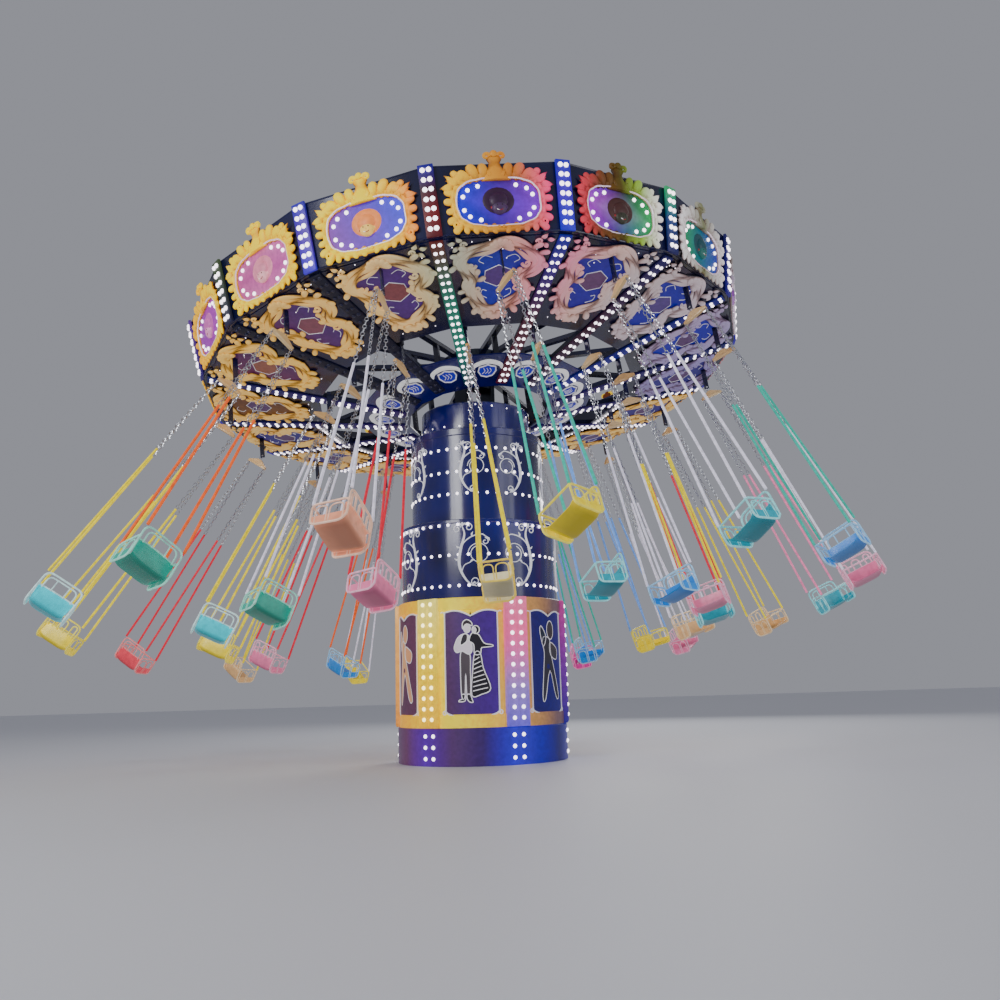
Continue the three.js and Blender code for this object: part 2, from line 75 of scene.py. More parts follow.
def make_camera():
    right = Vector((math.cos(PAN), math.sin(PAN), 0))
    level = Vector((-math.sin(PAN), math.cos(PAN), 0))
    ahead = math.cos(PITCH) * level + math.sin(PITCH) * Vector((0, 0, 1))
    above = right.cross(ahead)
    across = math.cos(ROLL) * right - math.sin(ROLL) * above
    upward = math.sin(ROLL) * right + math.cos(ROLL) * above
    turn = Matrix((across, upward, -ahead)).transposed().to_4x4()
    camera = bpy.data.objects.new("camera", bpy.data.cameras.new("camera"))
    camera.data.lens, camera.data.sensor_width = LENS, SENSOR
    camera.matrix_world = Matrix.Translation((0, -DISTANCE, EYE_HEIGHT)) @ turn
    bpy.context.scene.collection.objects.link(camera)
    bpy.context.scene.camera = camera
    return camera


make_camera()

# %% [markdown]
# ## Places on the ride
# The canopy leans, so its ornaments are worked out in the canopy's own frame: the rim lies in the
# plane z = 0 and the axis is vertical. One matrix then leans them with the canopy. Azimuths start
# at the side that faces the camera and grow to the right. A matrix for a place on a panel has its
# x axis across the panel, y up it and z out of it, so that one ornament fits all sixteen panels.
# %% Places and matrices
SECTORS = 16
SECTOR = 360 / SECTORS
PIVOT = Vector(joints["spin"]["pos_m"])
SPIN_AXIS = Vector(joints["spin"]["axis"]).normalized()
LEAN = Vector((0, 0, 1)).rotation_difference(SPIN_AXIS).to_matrix().to_4x4()
CANOPY = Matrix.Translation(PIVOT) @ LEAN
UP = Vector((0, 0, 1))


def outward(azimuth):
    turn = math.radians(azimuth)
    return Vector((math.sin(turn), -math.cos(turn), 0))


def sideways(azimuth):
    turn = math.radians(azimuth)
    return Vector((math.cos(turn), math.sin(turn), 0))


def at(azimuth, radius, height):
    return outward(azimuth) * radius + UP * height


def place(origin, across, up):
    across, up = across.normalized(), up.normalized()
    basis = Matrix((across, up, across.cross(up))).transposed().to_4x4()
    return Matrix.Translation(origin) @ basis


def azimuth_of(point):
    return math.degrees(math.atan2(point.x, -point.y))


first_pin = CANOPY.inverted() @ Vector(joints["outer_chair_1_swing"]["pos_m"])
FIRST_ARM = azimuth_of(first_pin) - SECTOR / 2
HALF = math.cos(math.radians(SECTOR / 2))


def arm_azimuth(k):
    return FIRST_ARM + k * SECTOR


print("first arm at", round(FIRST_ARM, 2), "degrees; canopy leans",
      round(SPIN_AXIS.angle(UP) * 57.3, 1))

# %% [markdown]
# ## Building tools
# A few small helpers. new_piece turns a finished bmesh into an object with its place in its mesh.
# stamp copies a template into a bmesh at a place, for what repeats. wire sweeps a round wire along
# a path, with Blender's own curve bevel, and draw does that along a flat path. rounded makes the
# corners of a path round, block is a bevelled box, and plate is an outline made thick.
# %% Helpers for meshes
SHARP = math.radians(38)     # a steeper edge stays sharp
FINE = 6                     # sides of a thin wire


def soften(bm):
    for face in bm.faces:
        face.smooth = True
    for edge in bm.edges:
        edge.smooth = edge.calc_face_angle(0) < SHARP


def new_piece(name, bm, body, materials, placed=None):
    if placed is not None:
        bm.transform(placed)
    soften(bm)
    mesh = bpy.data.meshes.new(name)
    bm.to_mesh(mesh)
    bm.free()
    for material in materials:
        mesh.materials.append(material)
    piece = bpy.data.objects.new(name, mesh)
    bpy.context.scene.collection.objects.link(piece)
    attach(piece, body)
    return piece


def template(bm):
    mesh = bpy.data.meshes.new("template")
    bm.to_mesh(mesh)
    bm.free()
    return mesh


def stamp(bm, mesh, where=None):
    """Adds a mesh, at a place if one is given, and returns its vertices."""
    first = len(bm.verts)
    bm.from_mesh(mesh)
    bm.verts.ensure_lookup_table()
    made = bm.verts[first:]
    if where is not None:
        bmesh.ops.transform(bm, matrix=where, verts=made)
    return made


def wire(points, radius, closed=False, sides=8, material=0, thickness=None):
    curve = bpy.data.curves.new("wire", "CURVE")
    curve.dimensions = "3D"
    curve.bevel_depth = radius
    curve.bevel_resolution = (sides - 4) // 2
    curve.use_fill_caps = not closed
    spline = curve.splines.new("POLY")
    spline.points.add(len(points) - 1)
    for i, (point, end) in enumerate(zip(points, spline.points)):
        end.co = (*point, 1)
        end.radius = thickness[i] if thickness else 1
    spline.use_cyclic_u = closed
    holder = bpy.data.objects.new("wire", curve)
    mesh = bpy.data.meshes.new_from_object(holder)
    bpy.data.objects.remove(holder)
    bpy.data.curves.remove(curve)
    for face in mesh.polygons:
        face.material_index = material
    return mesh


def draw(bm, path, level, radius, **options):
    """Adds a fine wire along a flat path, at one level, and returns its vertices."""
    return stamp(bm, wire([(x, y, level) for x, y in path], radius, sides=FINE, **options))


def rounded(points, radius, steps=4, closed=False):
    points = [Vector(point) for point in points]
    count = len(points)
    path = []
    for i, corner in enumerate(points):
        if not closed and i in (0, count - 1):
            path.append(corner)
            continue
        before, after = points[i - 1] - corner, points[(i + 1) % count] - corner
        reach = min(radius, before.length / 2.01, after.length / 2.01)
        start, end = corner + before.normalized() * reach, corner + after.normalized() * reach
        for step in range(steps + 1):
            t = step / steps
            path.append(start * (1 - t) ** 2 + corner * 2 * t * (1 - t) + end * t ** 2)
    return path


def block(bm, size, where, bevel):
    made = bmesh.ops.create_cube(bm, size=1, matrix=where @ Matrix.Diagonal((*size, 1)))["verts"]
    edges = list({edge for vert in made for edge in vert.link_edges})
    bmesh.ops.bevel(bm, geom=edges, offset=bevel, segments=2, profile=0.5, affect="EDGES",
                    material=-1)


def plate(bm, outline, thickness, where, material=0):
    verts = [bm.verts.new(where @ Vector((x, y, 0))) for x, y in outline]
    face = bm.faces.new(verts)
    face.material_index = material
    rise = where.to_3x3() @ Vector((0, 0, thickness))
    grown = bmesh.ops.extrude_face_region(bm, geom=[face])
    top = [item for item in grown["geom"] if isinstance(item, bmesh.types.BMVert)]
    bmesh.ops.translate(bm, verts=top, vec=rise)
    around = {near for vert in verts + top for near in vert.link_faces}
    bmesh.ops.recalc_face_normals(bm, faces=list(around))
    for near in around:
        near.material_index = material


# %% [markdown]
# ## Finishes
# Colours are written as sRGB hex values, as a paint card gives them, and one function turns them
# to the linear values that the shader needs. One more function adds a node with its settings and
# links. The size of a pattern is given in millimetres.
# %% Helpers for materials
def paint(code):
    channels = [int(code[i:i + 2], 16) / 255 for i in (0, 2, 4)]
    linear = [c / 12.92 if c <= 0.04045 else ((c + 0.055) / 1.055) ** 2.4 for c in channels]
    return (*linear, 1.0)


def add(tree, kind, settings=(), links=()):
    """Adds a node. Settings go to its sockets and properties, and stops to its colour ramp."""
    made = tree.nodes.new(kind)
    for name, value in dict(settings).items():
        if name == "stops":
            bands = made.color_ramp.elements
            while len(bands) < len(value):
                bands.new(0.5)
            for band, (position, colour) in zip(bands, value):
                band.position, band.color = position, colour
        elif isinstance(name, int) or name in made.inputs:
            made.inputs[name].default_value = value
        else:
            setattr(made, name, value)
    for name, source in dict(links).items():
        tree.links.new(source, made.inputs[name])
    return made


def start(name, **sockets):
    material = bpy.data.materials.new(name)
    material.use_nodes = True
    shader = material.node_tree.nodes["Principled BSDF"]
    for socket, value in sockets.items():
        shader.inputs[socket.replace("_", " ")].default_value = value
    return material, material.node_tree, shader


def lay_on(shader, colour, glow=0.0):
    """Gives the paint its colour, and the same colour to the light that it gives back."""
    links = shader.id_data.links
    links.new(colour, shader.inputs["Base Color"])
    if glow:
        links.new(colour, shader.inputs["Emission Color"])
        shader.inputs["Emission Strength"].default_value = glow


def dimmed(colour, share):
    return tuple(c * share for c in colour[:3]) + (1,)


# %% [markdown]
# Fairground metal is sprayed with gloss enamel. Close up it has a fine orange peel, a few
# millimetres across, and its colour drifts a little from panel to panel. The peel is bump, and
# the drift is a large soft noise between two near shades. A glow, where one is given, is a weak
# emission: painted light, for the shine of the lamps on the enamel.
# %% Enamel
PEEL_MM, DRIFT_MM = 12, 900      # orange peel, drawn coarse enough to show, and colour drift


def enamel(name, dark, light, rough=0.3, glow=0.0):
    material, tree, shader = start(name, Roughness=rough, Coat_Weight=0.5, Coat_Roughness=0.12)
    here = {"Vector": add(tree, "ShaderNodeTexCoord").outputs["Object"]}
    cloud = add(tree, "ShaderNodeTexNoise", {"Scale": 1000 / DRIFT_MM}, here)
    drift = add(tree, "ShaderNodeValToRGB", {"stops": [(0.35, paint(dark)), (0.65, paint(light))]},
                {"Fac": cloud.outputs["Fac"]})
    lay_on(shader, drift.outputs["Color"], glow)
    peel = add(tree, "ShaderNodeTexNoise", {"Scale": 1000 / PEEL_MM}, here)
    relief = add(tree, "ShaderNodeBump", {"Strength": 0.08, "Distance": 0.001},
                 {"Height": peel.outputs["Fac"]})
    tree.links.new(relief.outputs["Normal"], shader.inputs["Normal"])
    return material


# %% [markdown]
# The carved frames are cast in glass fibre and painted gold. Shade is painted into the hollows:
# a vertex attribute called depth, 0 in a hollow and 1 on a crest, runs the gold from a dark shade
# in the hollows to its brightest on the crests, and a fine noise breaks it up like brush marks.
# Rows of coloured lamps stand close to some of the castings, so a second attribute called tint
# holds the colour of that light, and its alpha says how much of it falls there. The painted shade
# darkens that light in the hollows too, and a weak emission gives back the shine that the lamps
# leave on the paint, as painted light.
# %% Gilded casting
BRUSH_MM = 30
# Painted shade: greys that darken the lamps' light in the hollows of a casting.
HOLLOW_SHADE_GREYS = [(0.15, "3a3a3a"), (0.5, "b0b0b0"), (0.9, "ffffff")]


def gilded(name, hollow, middle, crest, glow):
    material, tree, shader = start(name, Roughness=0.5, Specular_IOR_Level=0.35)
    here = {"Vector": add(tree, "ShaderNodeTexCoord").outputs["Object"]}
    depth = add(tree, "ShaderNodeAttribute", {"attribute_name": "depth"})
    brush = add(tree, "ShaderNodeTexNoise", {"Scale": 1000 / BRUSH_MM, "Detail": 4.0}, here)
    height = add(tree, "ShaderNodeMath", {"operation": "MULTIPLY_ADD", 1: 0.3},
                 {0: brush.outputs["Fac"], 2: depth.outputs["Fac"]})
    # Painted shade: the gold runs from a dark shade in the hollows to its brightest on the crests.
    shades = [(0.2, paint(hollow)), (0.5, paint(middle)), (0.9, paint(crest))]
    gold = add(tree, "ShaderNodeValToRGB", {"stops": shades}, {"Fac": height.outputs[0]})
    greys = [(position, paint(grey)) for position, grey in HOLLOW_SHADE_GREYS]
    hollow_shade = add(tree, "ShaderNodeValToRGB", {"stops": greys}, {"Fac": height.outputs[0]})
    light = add(tree, "ShaderNodeAttribute", {"attribute_name": "tint"})
    shaded = add(tree, "ShaderNodeMix", {"data_type": "RGBA", "blend_type": "MULTIPLY", 0: 1.0},
                 {6: light.outputs["Color"], 7: hollow_shade.outputs["Color"]})
    lit = add(tree, "ShaderNodeMix", {"data_type": "RGBA", "blend_type": "MIX"},
              {0: light.outputs["Alpha"], 6: gold.outputs["Color"], 7: shaded.outputs[2]})
    lay_on(shader, lit.outputs[2], glow)
    relief = add(tree, "ShaderNodeBump", {"Strength": 0.15, "Distance": 0.002},
                 {"Height": brush.outputs["Fac"]})
    tree.links.new(relief.outputs["Normal"], shader.inputs["Normal"])
    return material


# %% [markdown]
# Printed and lit panels change colour across their width, because strips of coloured lamps shine
# over them. Each point carries its own colour in an attribute called tint, and the same colour
# feeds a weak emission. Behind the lit acrylic there are lamps; on the printed panels and on the
# lacquered drum, plinth and pilasters that emission is painted light.
# %% Lit acrylic
GRAIN_MM = 50
GRAIN = [(0.3, (0.75, 0.75, 0.75, 1)), (0.7, (1, 1, 1, 1))]


def lit_acrylic(name, glow, rough=0.5, coat=0.05):
    material, tree, shader = start(name, Roughness=rough, Coat_Weight=coat, Coat_Roughness=0.15)
    here = {"Vector": add(tree, "ShaderNodeTexCoord").outputs["Object"]}
    tint = add(tree, "ShaderNodeAttribute", {"attribute_name": "tint"})
    cloud = add(tree, "ShaderNodeTexNoise", {"Scale": 1000 / GRAIN_MM, "Detail": 3.0}, here)
    grain = add(tree, "ShaderNodeValToRGB", {"stops": GRAIN}, {"Fac": cloud.outputs["Fac"]})
    mixed = add(tree, "ShaderNodeMix", {"data_type": "RGBA", "blend_type": "MULTIPLY", 0: 1.0},
                {6: tint.outputs["Color"], 7: grain.outputs["Color"]})
    lay_on(shader, mixed.outputs[2], glow)
    return material


def lamp(name, colour, strength):
    return start(name, Roughness=0.25, Base_Color=paint(colour), Emission_Color=paint(colour),
                 Emission_Strength=strength)[0]


# %% [markdown]
# Chair shells are moulded glass fibre with a gloss gel coat. The gel coat hardly hides the mat
# under it, so a faint cloudy pattern shows. Shade is painted on the underside, which the lamps
# do not reach: the attribute called depth darkens it to a third of the colour, and the back
# stays bright.
# %% Gel coat, tube paint and steel
MAT_MM, POLISH_MM = 60, 15      # the cloudy mat under the gel coat, and the waves of its polish
# Painted light: the shells and sleeves glow weakly, the tube paint less, for the lamps' shine.
CHAIR_GLOW = 0.35


def gel_coat(name, shade):
    colour = paint(shade)
    material, tree, shader = start(name, Roughness=0.34, Coat_Weight=0.2, Coat_Roughness=0.15)
    here = {"Vector": add(tree, "ShaderNodeTexCoord").outputs["Object"]}
    mat = add(tree, "ShaderNodeTexNoise", {"Scale": 1000 / MAT_MM, "Detail": 3.0}, here)
    cloud = add(tree, "ShaderNodeValToRGB",
                {"stops": [(0.3, dimmed(colour, 0.8)), (0.62, colour)]},
                {"Fac": mat.outputs["Fac"]})
    depth = add(tree, "ShaderNodeAttribute", {"attribute_name": "depth"})
    # Painted shade: the underside at a third of the colour, the back at its full colour.
    underside_shade = add(tree, "ShaderNodeMix",
               {"data_type": "RGBA", "blend_type": "MIX", 6: dimmed(colour, 0.34)},
               {0: depth.outputs["Fac"], 7: cloud.outputs["Color"]})
    lay_on(shader, underside_shade.outputs[2], CHAIR_GLOW)
    waves = add(tree, "ShaderNodeTexNoise", {"Scale": 1000 / POLISH_MM}, here)
    relief = add(tree, "ShaderNodeBump", {"Strength": 0.12, "Distance": 0.001},
                 {"Height": waves.outputs["Fac"]})
    tree.links.new(relief.outputs["Normal"], shader.inputs["Normal"])
    return material


def streaked(name, shade, size_mm, dark_share, glow=0.0, **sockets):
    """Rubbed vinyl or tube paint, and galvanised steel: one colour, darker in soft streaks."""
    material, tree, shader = start(name, **sockets)
    here = {"Vector": add(tree, "ShaderNodeTexCoord").outputs["Object"]}
    cloud = add(tree, "ShaderNodeTexNoise", {"Scale": 1000 / size_mm, "Detail": 3.0}, here)
    stops = [(0.3, dimmed(paint(shade), dark_share)), (0.6, paint(shade))]
    streak = add(tree, "ShaderNodeValToRGB", {"stops": stops}, {"Fac": cloud.outputs["Fac"]})
    lay_on(shader, streak.outputs["Color"], glow)
    return material


def vinyl(name, shade, glow):
    return streaked(name, shade, 50, 0.75, glow, Roughness=0.42)


def bright_steel(name, shade, rough):
    return streaked(name, shade, 20, 0.7, Metallic=1.0, Roughness=rough)


SEAT_SHADES = {
    "cyan": ("1ce0f0", "d8fafa"), "yellow": ("ffe400", "fff05a"), "coral": ("f04858", "ff9c9c"),
    "aqua": ("12a4b8", "a0f0f4"), "teal": ("08a890", "a8f0dc"), "peach": ("f4a07c", "ffd0b4"),
    "blue": ("1c8ce8", "a8dcff"), "pink": ("f07ca8", "ffc0d8"), "magenta": ("d82c96", "ff90cc"),
    "tan": ("e4b478", "f8dcae"), "cream": ("ece0b0", "ffe060"),
}
SHELLS = {name: gel_coat(f"gel_coat_{name}", shell) for name, (shell, _) in SEAT_SHADES.items()}
TUBES = {name: vinyl(f"tube_paint_{name}", tube, 0.2) for name, (_, tube) in SEAT_SHADES.items()}
SLEEVES = {name: vinyl(f"sleeve_vinyl_{name}", shade, CHAIR_GLOW) for name, shade in {
    "yellow": "ffe800", "red": "e8203c", "orange": "ff6a20", "teal": "2cc0a8", "blue": "6fa4f4",
    "white": "ece8fa", "pink": "ff8cb8",
}.items()}
NAVY = enamel("navy_enamel", "040746", "080e78", 0.2)
NIGHT = enamel("night_blue_enamel", "070924", "10154a", 0.25)
HANGER_PAINT = enamel("cream_hanger_enamel", "e8b068", "f8d8a0", 0.4)
GILT = gilded("gilded_casting", "6a2c00", "f0a400", "ffe000", glow=0.45)
CREAM_GILT = gilded("cream_gilded_casting", "2c1404", "d89828", "ffd880", glow=0.4)
BEAD = enamel("pale_rose_bead_enamel", "f4c8dc", "fff0fa", 0.35, 0.25)
WHITE_LINE = enamel("white_trim_enamel", "f2eef6", "ffffff", 0.3, 0.15)
# Painted highlight: the silver scrolls are white and glow a little, for the shine of silver.
SILVER = enamel("silver_scroll_lacquer", "dfe2f0", "ffffff", 0.22, 0.25)
CHAIN_STEEL = bright_steel("galvanised_chain_steel", "d3d6dc", 0.3)
BEARING = bright_steel("dark_machine_steel", "4a4f59", 0.45)
ACRYLIC = lit_acrylic("lit_acrylic", 0.6)
PRINT = lit_acrylic("printed_panel_acrylic", 0.25)
# Painted light: on the drum, plinth and pilasters the tint is the lamps' light on the paint.
LACQUER = lit_acrylic("lamp_lit_gloss_lacquer", 0.55, 0.4, 0.08)
BULB_WHITE = lamp("white_bulb_cap", "fff6ff", 3.0)
BULB_WARM = lamp("warm_bulb_cap", "fff2b0", 3.0)
BULB_OFF = enamel("unlit_bulb_cap", "0c0e30", "161a48", 0.3)
print("finishes:", len(bpy.data.materials))

# %% [markdown]
# ## The plain frame pieces
# What has the right shape already keeps its mesh from the frame and only gets its finish.
# %% Dress the frame's own nodes
NODE_FINISH = {
    "tilt_bearing": BEARING, "tilt_head": BEARING, "canopy_hub": BEARING, "cone_collar": NAVY,
}
for q in range(1, 5):
    NODE_FINISH[f"arm_frame_{q}"] = NIGHT
    NODE_FINISH[f"soffit_{q}"] = NIGHT
for node, material in NODE_FINISH.items():
    mesh = frame["nodes"][node].data
    mesh.materials.clear()
    mesh.materials.append(material)

# %% [markdown]
# ## Attributes that carry colour
# Small functions write the attributes that the castings and the lit panels read. The tint of a
# point is mixed between the colours of a list, by how far along the list the point is. In a wash
# each colour comes with its share of light, so a frame can be plain gold at one end.
# %% Tint, wash and depth
def blended(colours, share):
    share = min(max(share, 0), 1) * (len(colours) - 1)
    low = min(int(share), len(colours) - 2) if len(colours) > 1 else 0
    one, two = paint(colours[low]), paint(colours[min(low + 1, len(colours) - 1)])
    t = share - low
    return tuple(a * (1 - t) + b * t for a, b in zip(one, two))


def painted():
    bm = bmesh.new()
    bm.verts.layers.float_color.new("tint")
    bm.verts.layers.float.new("depth")
    return bm


def tint(bm, verts, colours, share_of=lambda co: 0):
    layer = bm.verts.layers.float_color["tint"]
    for vert in verts:
        vert[layer] = blended(colours, share_of(vert.co))


def wash(bm, verts, stops, share_of):
    """Light from coloured lamps. A stop is a colour and how much of it there is, from 0 to 1."""
    layer = bm.verts.layers.float_color["tint"]
    colours = [colour for colour, amount in stops]
    for vert in verts:
        share = min(max(share_of(vert.co), 0), 1)
        place_on = share * (len(stops) - 1)
        low = min(int(place_on), len(stops) - 2)
        amount = stops[low][1] + (stops[low + 1][1] - stops[low][1]) * (place_on - low)
        vert[layer] = (*blended(colours, share)[:3], amount)


def depths(bm, low, high):
    """Depth from the height of each point, 0 below the low level and 1 above the high one."""
    layer = bm.verts.layers.float["depth"]
    for vert in bm.verts:
        vert[layer] = min(max((vert.co.z - low) / (high - low), 0), 1)


def one_depth(bm, verts, value):
    layer = bm.verts.layers.float["depth"]
    for vert in verts:
        vert[layer] = value


# %% [markdown]
# ## Bulbs
# Every bulb is a small frosted cap over a lamp. There are about two thousand, so the cap is an
# icosphere with few faces, pressed a little flat, and each row is one mesh.
# %% The bulb and its rows
BULB, BULB_FLAT = 0.021, 0.8


def bulb_template():
    bm = bmesh.new()
    bmesh.ops.create_icosphere(bm, subdivisions=2, radius=BULB)
    bmesh.ops.scale(bm, vec=(1, 1, BULB_FLAT), verts=bm.verts)
    return template(bm)


bulb_mesh = bulb_template()


def bulbs(name, places, body, material=BULB_WHITE, placed=None, size=1.0):
    bm = bmesh.new()
    for where in places:
        stamp(bm, bulb_mesh, where @ Matrix.Scale(size, 4))
    return new_piece(name, bm, body, [material], placed)


# %% [markdown]
# ## Turned pieces
# The plinth, the drum and both stages of the column are round. The imported model has them with
# flat sides, so each one is drawn again as half of its section and turned round the axis with
# the spin operator. Most of the heights are read from the imported model's boxes, and the radii
# are given.
# %% Turn a section round the axis
TURNS = 144


def turned(name, section, body, materials, node=None, colours=None):
    bm = painted()
    verts = [bm.verts.new((0, -r, z)) for r, z in section]
    pairs = zip(verts, verts[1:] + verts[:1]) if section[0][0] else zip(verts, verts[1:])
    edges = [bm.edges.new(pair) for pair in pairs]
    bmesh.ops.spin(bm, geom=verts + edges, cent=(0, 0, 0), axis=(0, 0, 1), angle=2 * math.pi,
                   steps=TURNS, use_merge=True)
    bmesh.ops.remove_doubles(bm, verts=bm.verts, dist=0.0001)
    bmesh.ops.recalc_face_normals(bm, faces=bm.faces)
    if colours:
        tint(bm, bm.verts, colours, lambda co: (azimuth_of(co) + 180) / 360)
    piece = new_piece(name, bm, body, materials)
    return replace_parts(piece, node) if node else piece


# %% [markdown]
# ## The column
# Two glossy navy tubes, one inside the other, each with a lip at its top, and a narrower collar
# on the upper one. Rings of bulbs run round both stages, and silver line scrolls lie between the
# rings. A scroll is a curve drawn flat and then wrapped round the tube, so the same drawing
# serves both radii.
# %% Column tubes
LOWER_RADIUS, UPPER_RADIUS, COLLAR_RADIUS = 1.045, 0.90, 0.75
DRUM_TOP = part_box("base_drum")[1].z
LOWER_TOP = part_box("lower_column")[1].z
UPPER_FOOT, UPPER_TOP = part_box("upper_column")[0].z, 4.30
COLLAR_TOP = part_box("upper_column")[1].z
WALL, LIP, GAP = 0.06, 0.012, 0.032      # the upper stage's bulbs and scrolls pass the gap
lower_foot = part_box("lower_column")[0].z
guide = UPPER_RADIUS + GAP
turned("lower_tube", [
    (LOWER_RADIUS - WALL, lower_foot), (LOWER_RADIUS, lower_foot),
    (LOWER_RADIUS, LOWER_TOP - 0.05), (LOWER_RADIUS + LIP, LOWER_TOP - 0.04),
    (LOWER_RADIUS + LIP, LOWER_TOP - 0.008), (LOWER_RADIUS + LIP - 0.008, LOWER_TOP),
    (guide, LOWER_TOP), (guide, LOWER_TOP - 0.12), (LOWER_RADIUS - WALL, LOWER_TOP - 0.12),
], "base", [NAVY], "lower_column")
turned("upper_tube", [
    (0, UPPER_FOOT), (UPPER_RADIUS, UPPER_FOOT), (UPPER_RADIUS, UPPER_TOP - 0.1),
    (UPPER_RADIUS + LIP, UPPER_TOP - 0.09), (UPPER_RADIUS + LIP, UPPER_TOP - 0.01),
    (UPPER_RADIUS, UPPER_TOP), (COLLAR_RADIUS, UPPER_TOP), (COLLAR_RADIUS, COLLAR_TOP - 0.02),
    (COLLAR_RADIUS - 0.02, COLLAR_TOP), (0, COLLAR_TOP),
], "lift", [NAVY], "upper_column")

# %% Column bulbs
RING_SPACING = 0.13
STAGES = {"lower": (LOWER_RADIUS, "base"), "upper": (UPPER_RADIUS, "lift")}
RINGS = {      # heights of the rings, and how far the tube stands out there
    "lower": [(2.204, 0), (2.596, 0), (2.982, LIP)], "upper": [(3.419, 0), (3.712, 0), (4.022, 0)],
}
GOLDEN, GOLDEN_SQUARE = 0.618, 0.381      # steps that scatter the small lights and never line up
COLLAR_STARS, STAR_LOW, STAR_SPREAD = 36, 4.36, 0.3


def on_tube(azimuth, radius, height):
    return place(at(azimuth, radius, height), sideways(azimuth), UP)


for stage, (radius, body) in STAGES.items():
    count = round(2 * math.pi * radius / RING_SPACING)
    ring = [on_tube(360 * i / count, radius + proud, height)
            for height, proud in RINGS[stage] for i in range(count)]
    bulbs(f"{stage}_column_bulbs", ring, body)

collar_lights = [on_tube(360 * ((i * GOLDEN_SQUARE) % 1), COLLAR_RADIUS,
                         STAR_LOW + STAR_SPREAD * ((i * GOLDEN) % 1)) for i in range(COLLAR_STARS)]
bulbs("collar_star_lights", collar_lights, "lift", size=0.45)

# %% Column scrolls
def smooth(points, steps=6, closed=False):
    """Catmull-Rom curve through flat points. An open one also keeps its ends."""
    points = [Vector((x, y, 0)) for x, y in points]
    if closed:
        points = points[-1:] + points + points[:2]
    else:
        points = [2 * points[0] - points[1]] + points + [2 * points[-1] - points[-2]]
    path = []
    for a, b, c, d in zip(points, points[1:], points[2:], points[3:]):
        for step in range(steps):
            t = step / steps
            path.append(0.5 * (2 * b + (c - a) * t + (2 * a - 5 * b + 4 * c - d) * t ** 2
                               + (3 * b - a - 3 * c + d) * t ** 3))
    if not closed:
        path.append(points[-2])
    return [(p.x, p.y) for p in path]


def spiral(centre, radius, turns, start_angle, hand=1, steps=26, shrink=0.25):
    path = []
    for i in range(steps + 1):
        t = i / steps
        r = radius * (1 - t * (1 - shrink))
        angle = start_angle + hand * t * turns * 2 * math.pi
        path.append((centre[0] + r * math.cos(angle), centre[1] + r * math.sin(angle)))
    return path


SCROLL_PAIRS = 4
FIRST_PAIR = -32
PAIR_OFFSET = 0.32      # from the middle of a pair to each long arc
SCROLL_HEIGHT = 0.82
ARC = smooth([(0.05, 0.40), (0.08, 0.28), (0.03, 0.10), (0.0, -0.06), (0.02, -0.20), (0.09, -0.33),
              (0.17, -0.41)])
SWEEP = smooth([(0.01, 0.05), (0.07, 0.17), (0.18, 0.25), (0.31, 0.28), (0.38, 0.24)])
HOOK = smooth([(0.03, -0.24), (0.07, -0.14), (0.15, -0.10)])
RING_CURL = spiral((0.27, 0.02), 0.145, 1.2, math.pi, -1, 30, 0.7)
CURLS = [spiral((-0.02, 0.36), 0.06, 1.3, 0.4, 1, 18),
         spiral((0.14, 0.38), 0.06, 1.3, 2.6, -1, 18),
         spiral((0.22, -0.36), 0.06, 1.1, 3.6, -1, 18),
         spiral((0.36, 0.18), 0.05, 1.1, 1.6, -1, 16)]
LEAF_BLADES = [(0.05, 0.40, 75), (0.05, 0.40, 120), (0.05, 0.40, 35), (0.17, -0.41, -15),
               (0.17, -0.41, 40), (0.15, -0.10, 30), (0.0, -0.06, 165), (0.02, 0.10, 150),
               (0.18, 0.25, 75), (0.38, 0.24, -50)]
BLADE, BLADE_BOW, BLADE_SWELL = 0.07, 0.01, [0.6, 1.0, 0.15]
ARC_WIRE, BLADE_WIRE = 0.013, 0.013
THIN_STROKES = [(SWEEP, 0.008), (HOOK, 0.006), (RING_CURL, 0.006)]
THIN_STROKES += [(curl, 0.007) for curl in CURLS]
SCROLL_PROUD = 0.003


def scroll_strokes():
    """The strokes of one scroll: the path of each, the radius of its wire, and its swell."""
    swell = [0.5 + 1.1 * math.sin(math.pi * i / (len(ARC) - 1)) for i in range(len(ARC))]
    strokes = [(ARC, ARC_WIRE, swell)] + [(path, thick, None) for path, thick in THIN_STROKES]
    for x, y, turn in LEAF_BLADES:
        c, s = math.cos(math.radians(turn)), math.sin(math.radians(turn))
        middle = (x + BLADE / 2 * c - BLADE_BOW * s, y + BLADE / 2 * s + BLADE_BOW * c)
        blade = [(x, y), middle, (x + BLADE * c, y + BLADE * s)]
        strokes.append((blade, BLADE_WIRE, BLADE_SWELL))
    return strokes


def column_scrolls(stage, low, high):
    radius, body = STAGES[stage]
    grow = (high - low) / SCROLL_HEIGHT
    bm = bmesh.new()
    for i in range(SCROLL_PAIRS):
        azimuth = 360 * i / SCROLL_PAIRS + FIRST_PAIR
        for path, thick, swell in scroll_strokes():
            for hand in (1, -1):
                drawn = [((x * grow + PAIR_OFFSET * radius) * hand, y * grow) for x, y in path]
                line = [at(azimuth + math.degrees(x / (radius + SCROLL_PROUD)),
                           radius + SCROLL_PROUD, (low + high) / 2 + y) for x, y in drawn]
                bm.from_mesh(wire(line, thick, sides=FINE, thickness=swell))
    return new_piece(f"{stage}_column_scrolls", bm, body, [SILVER])


column_scrolls("lower", 2.20, 2.97)
column_scrolls("upper", 3.44, 4.08)

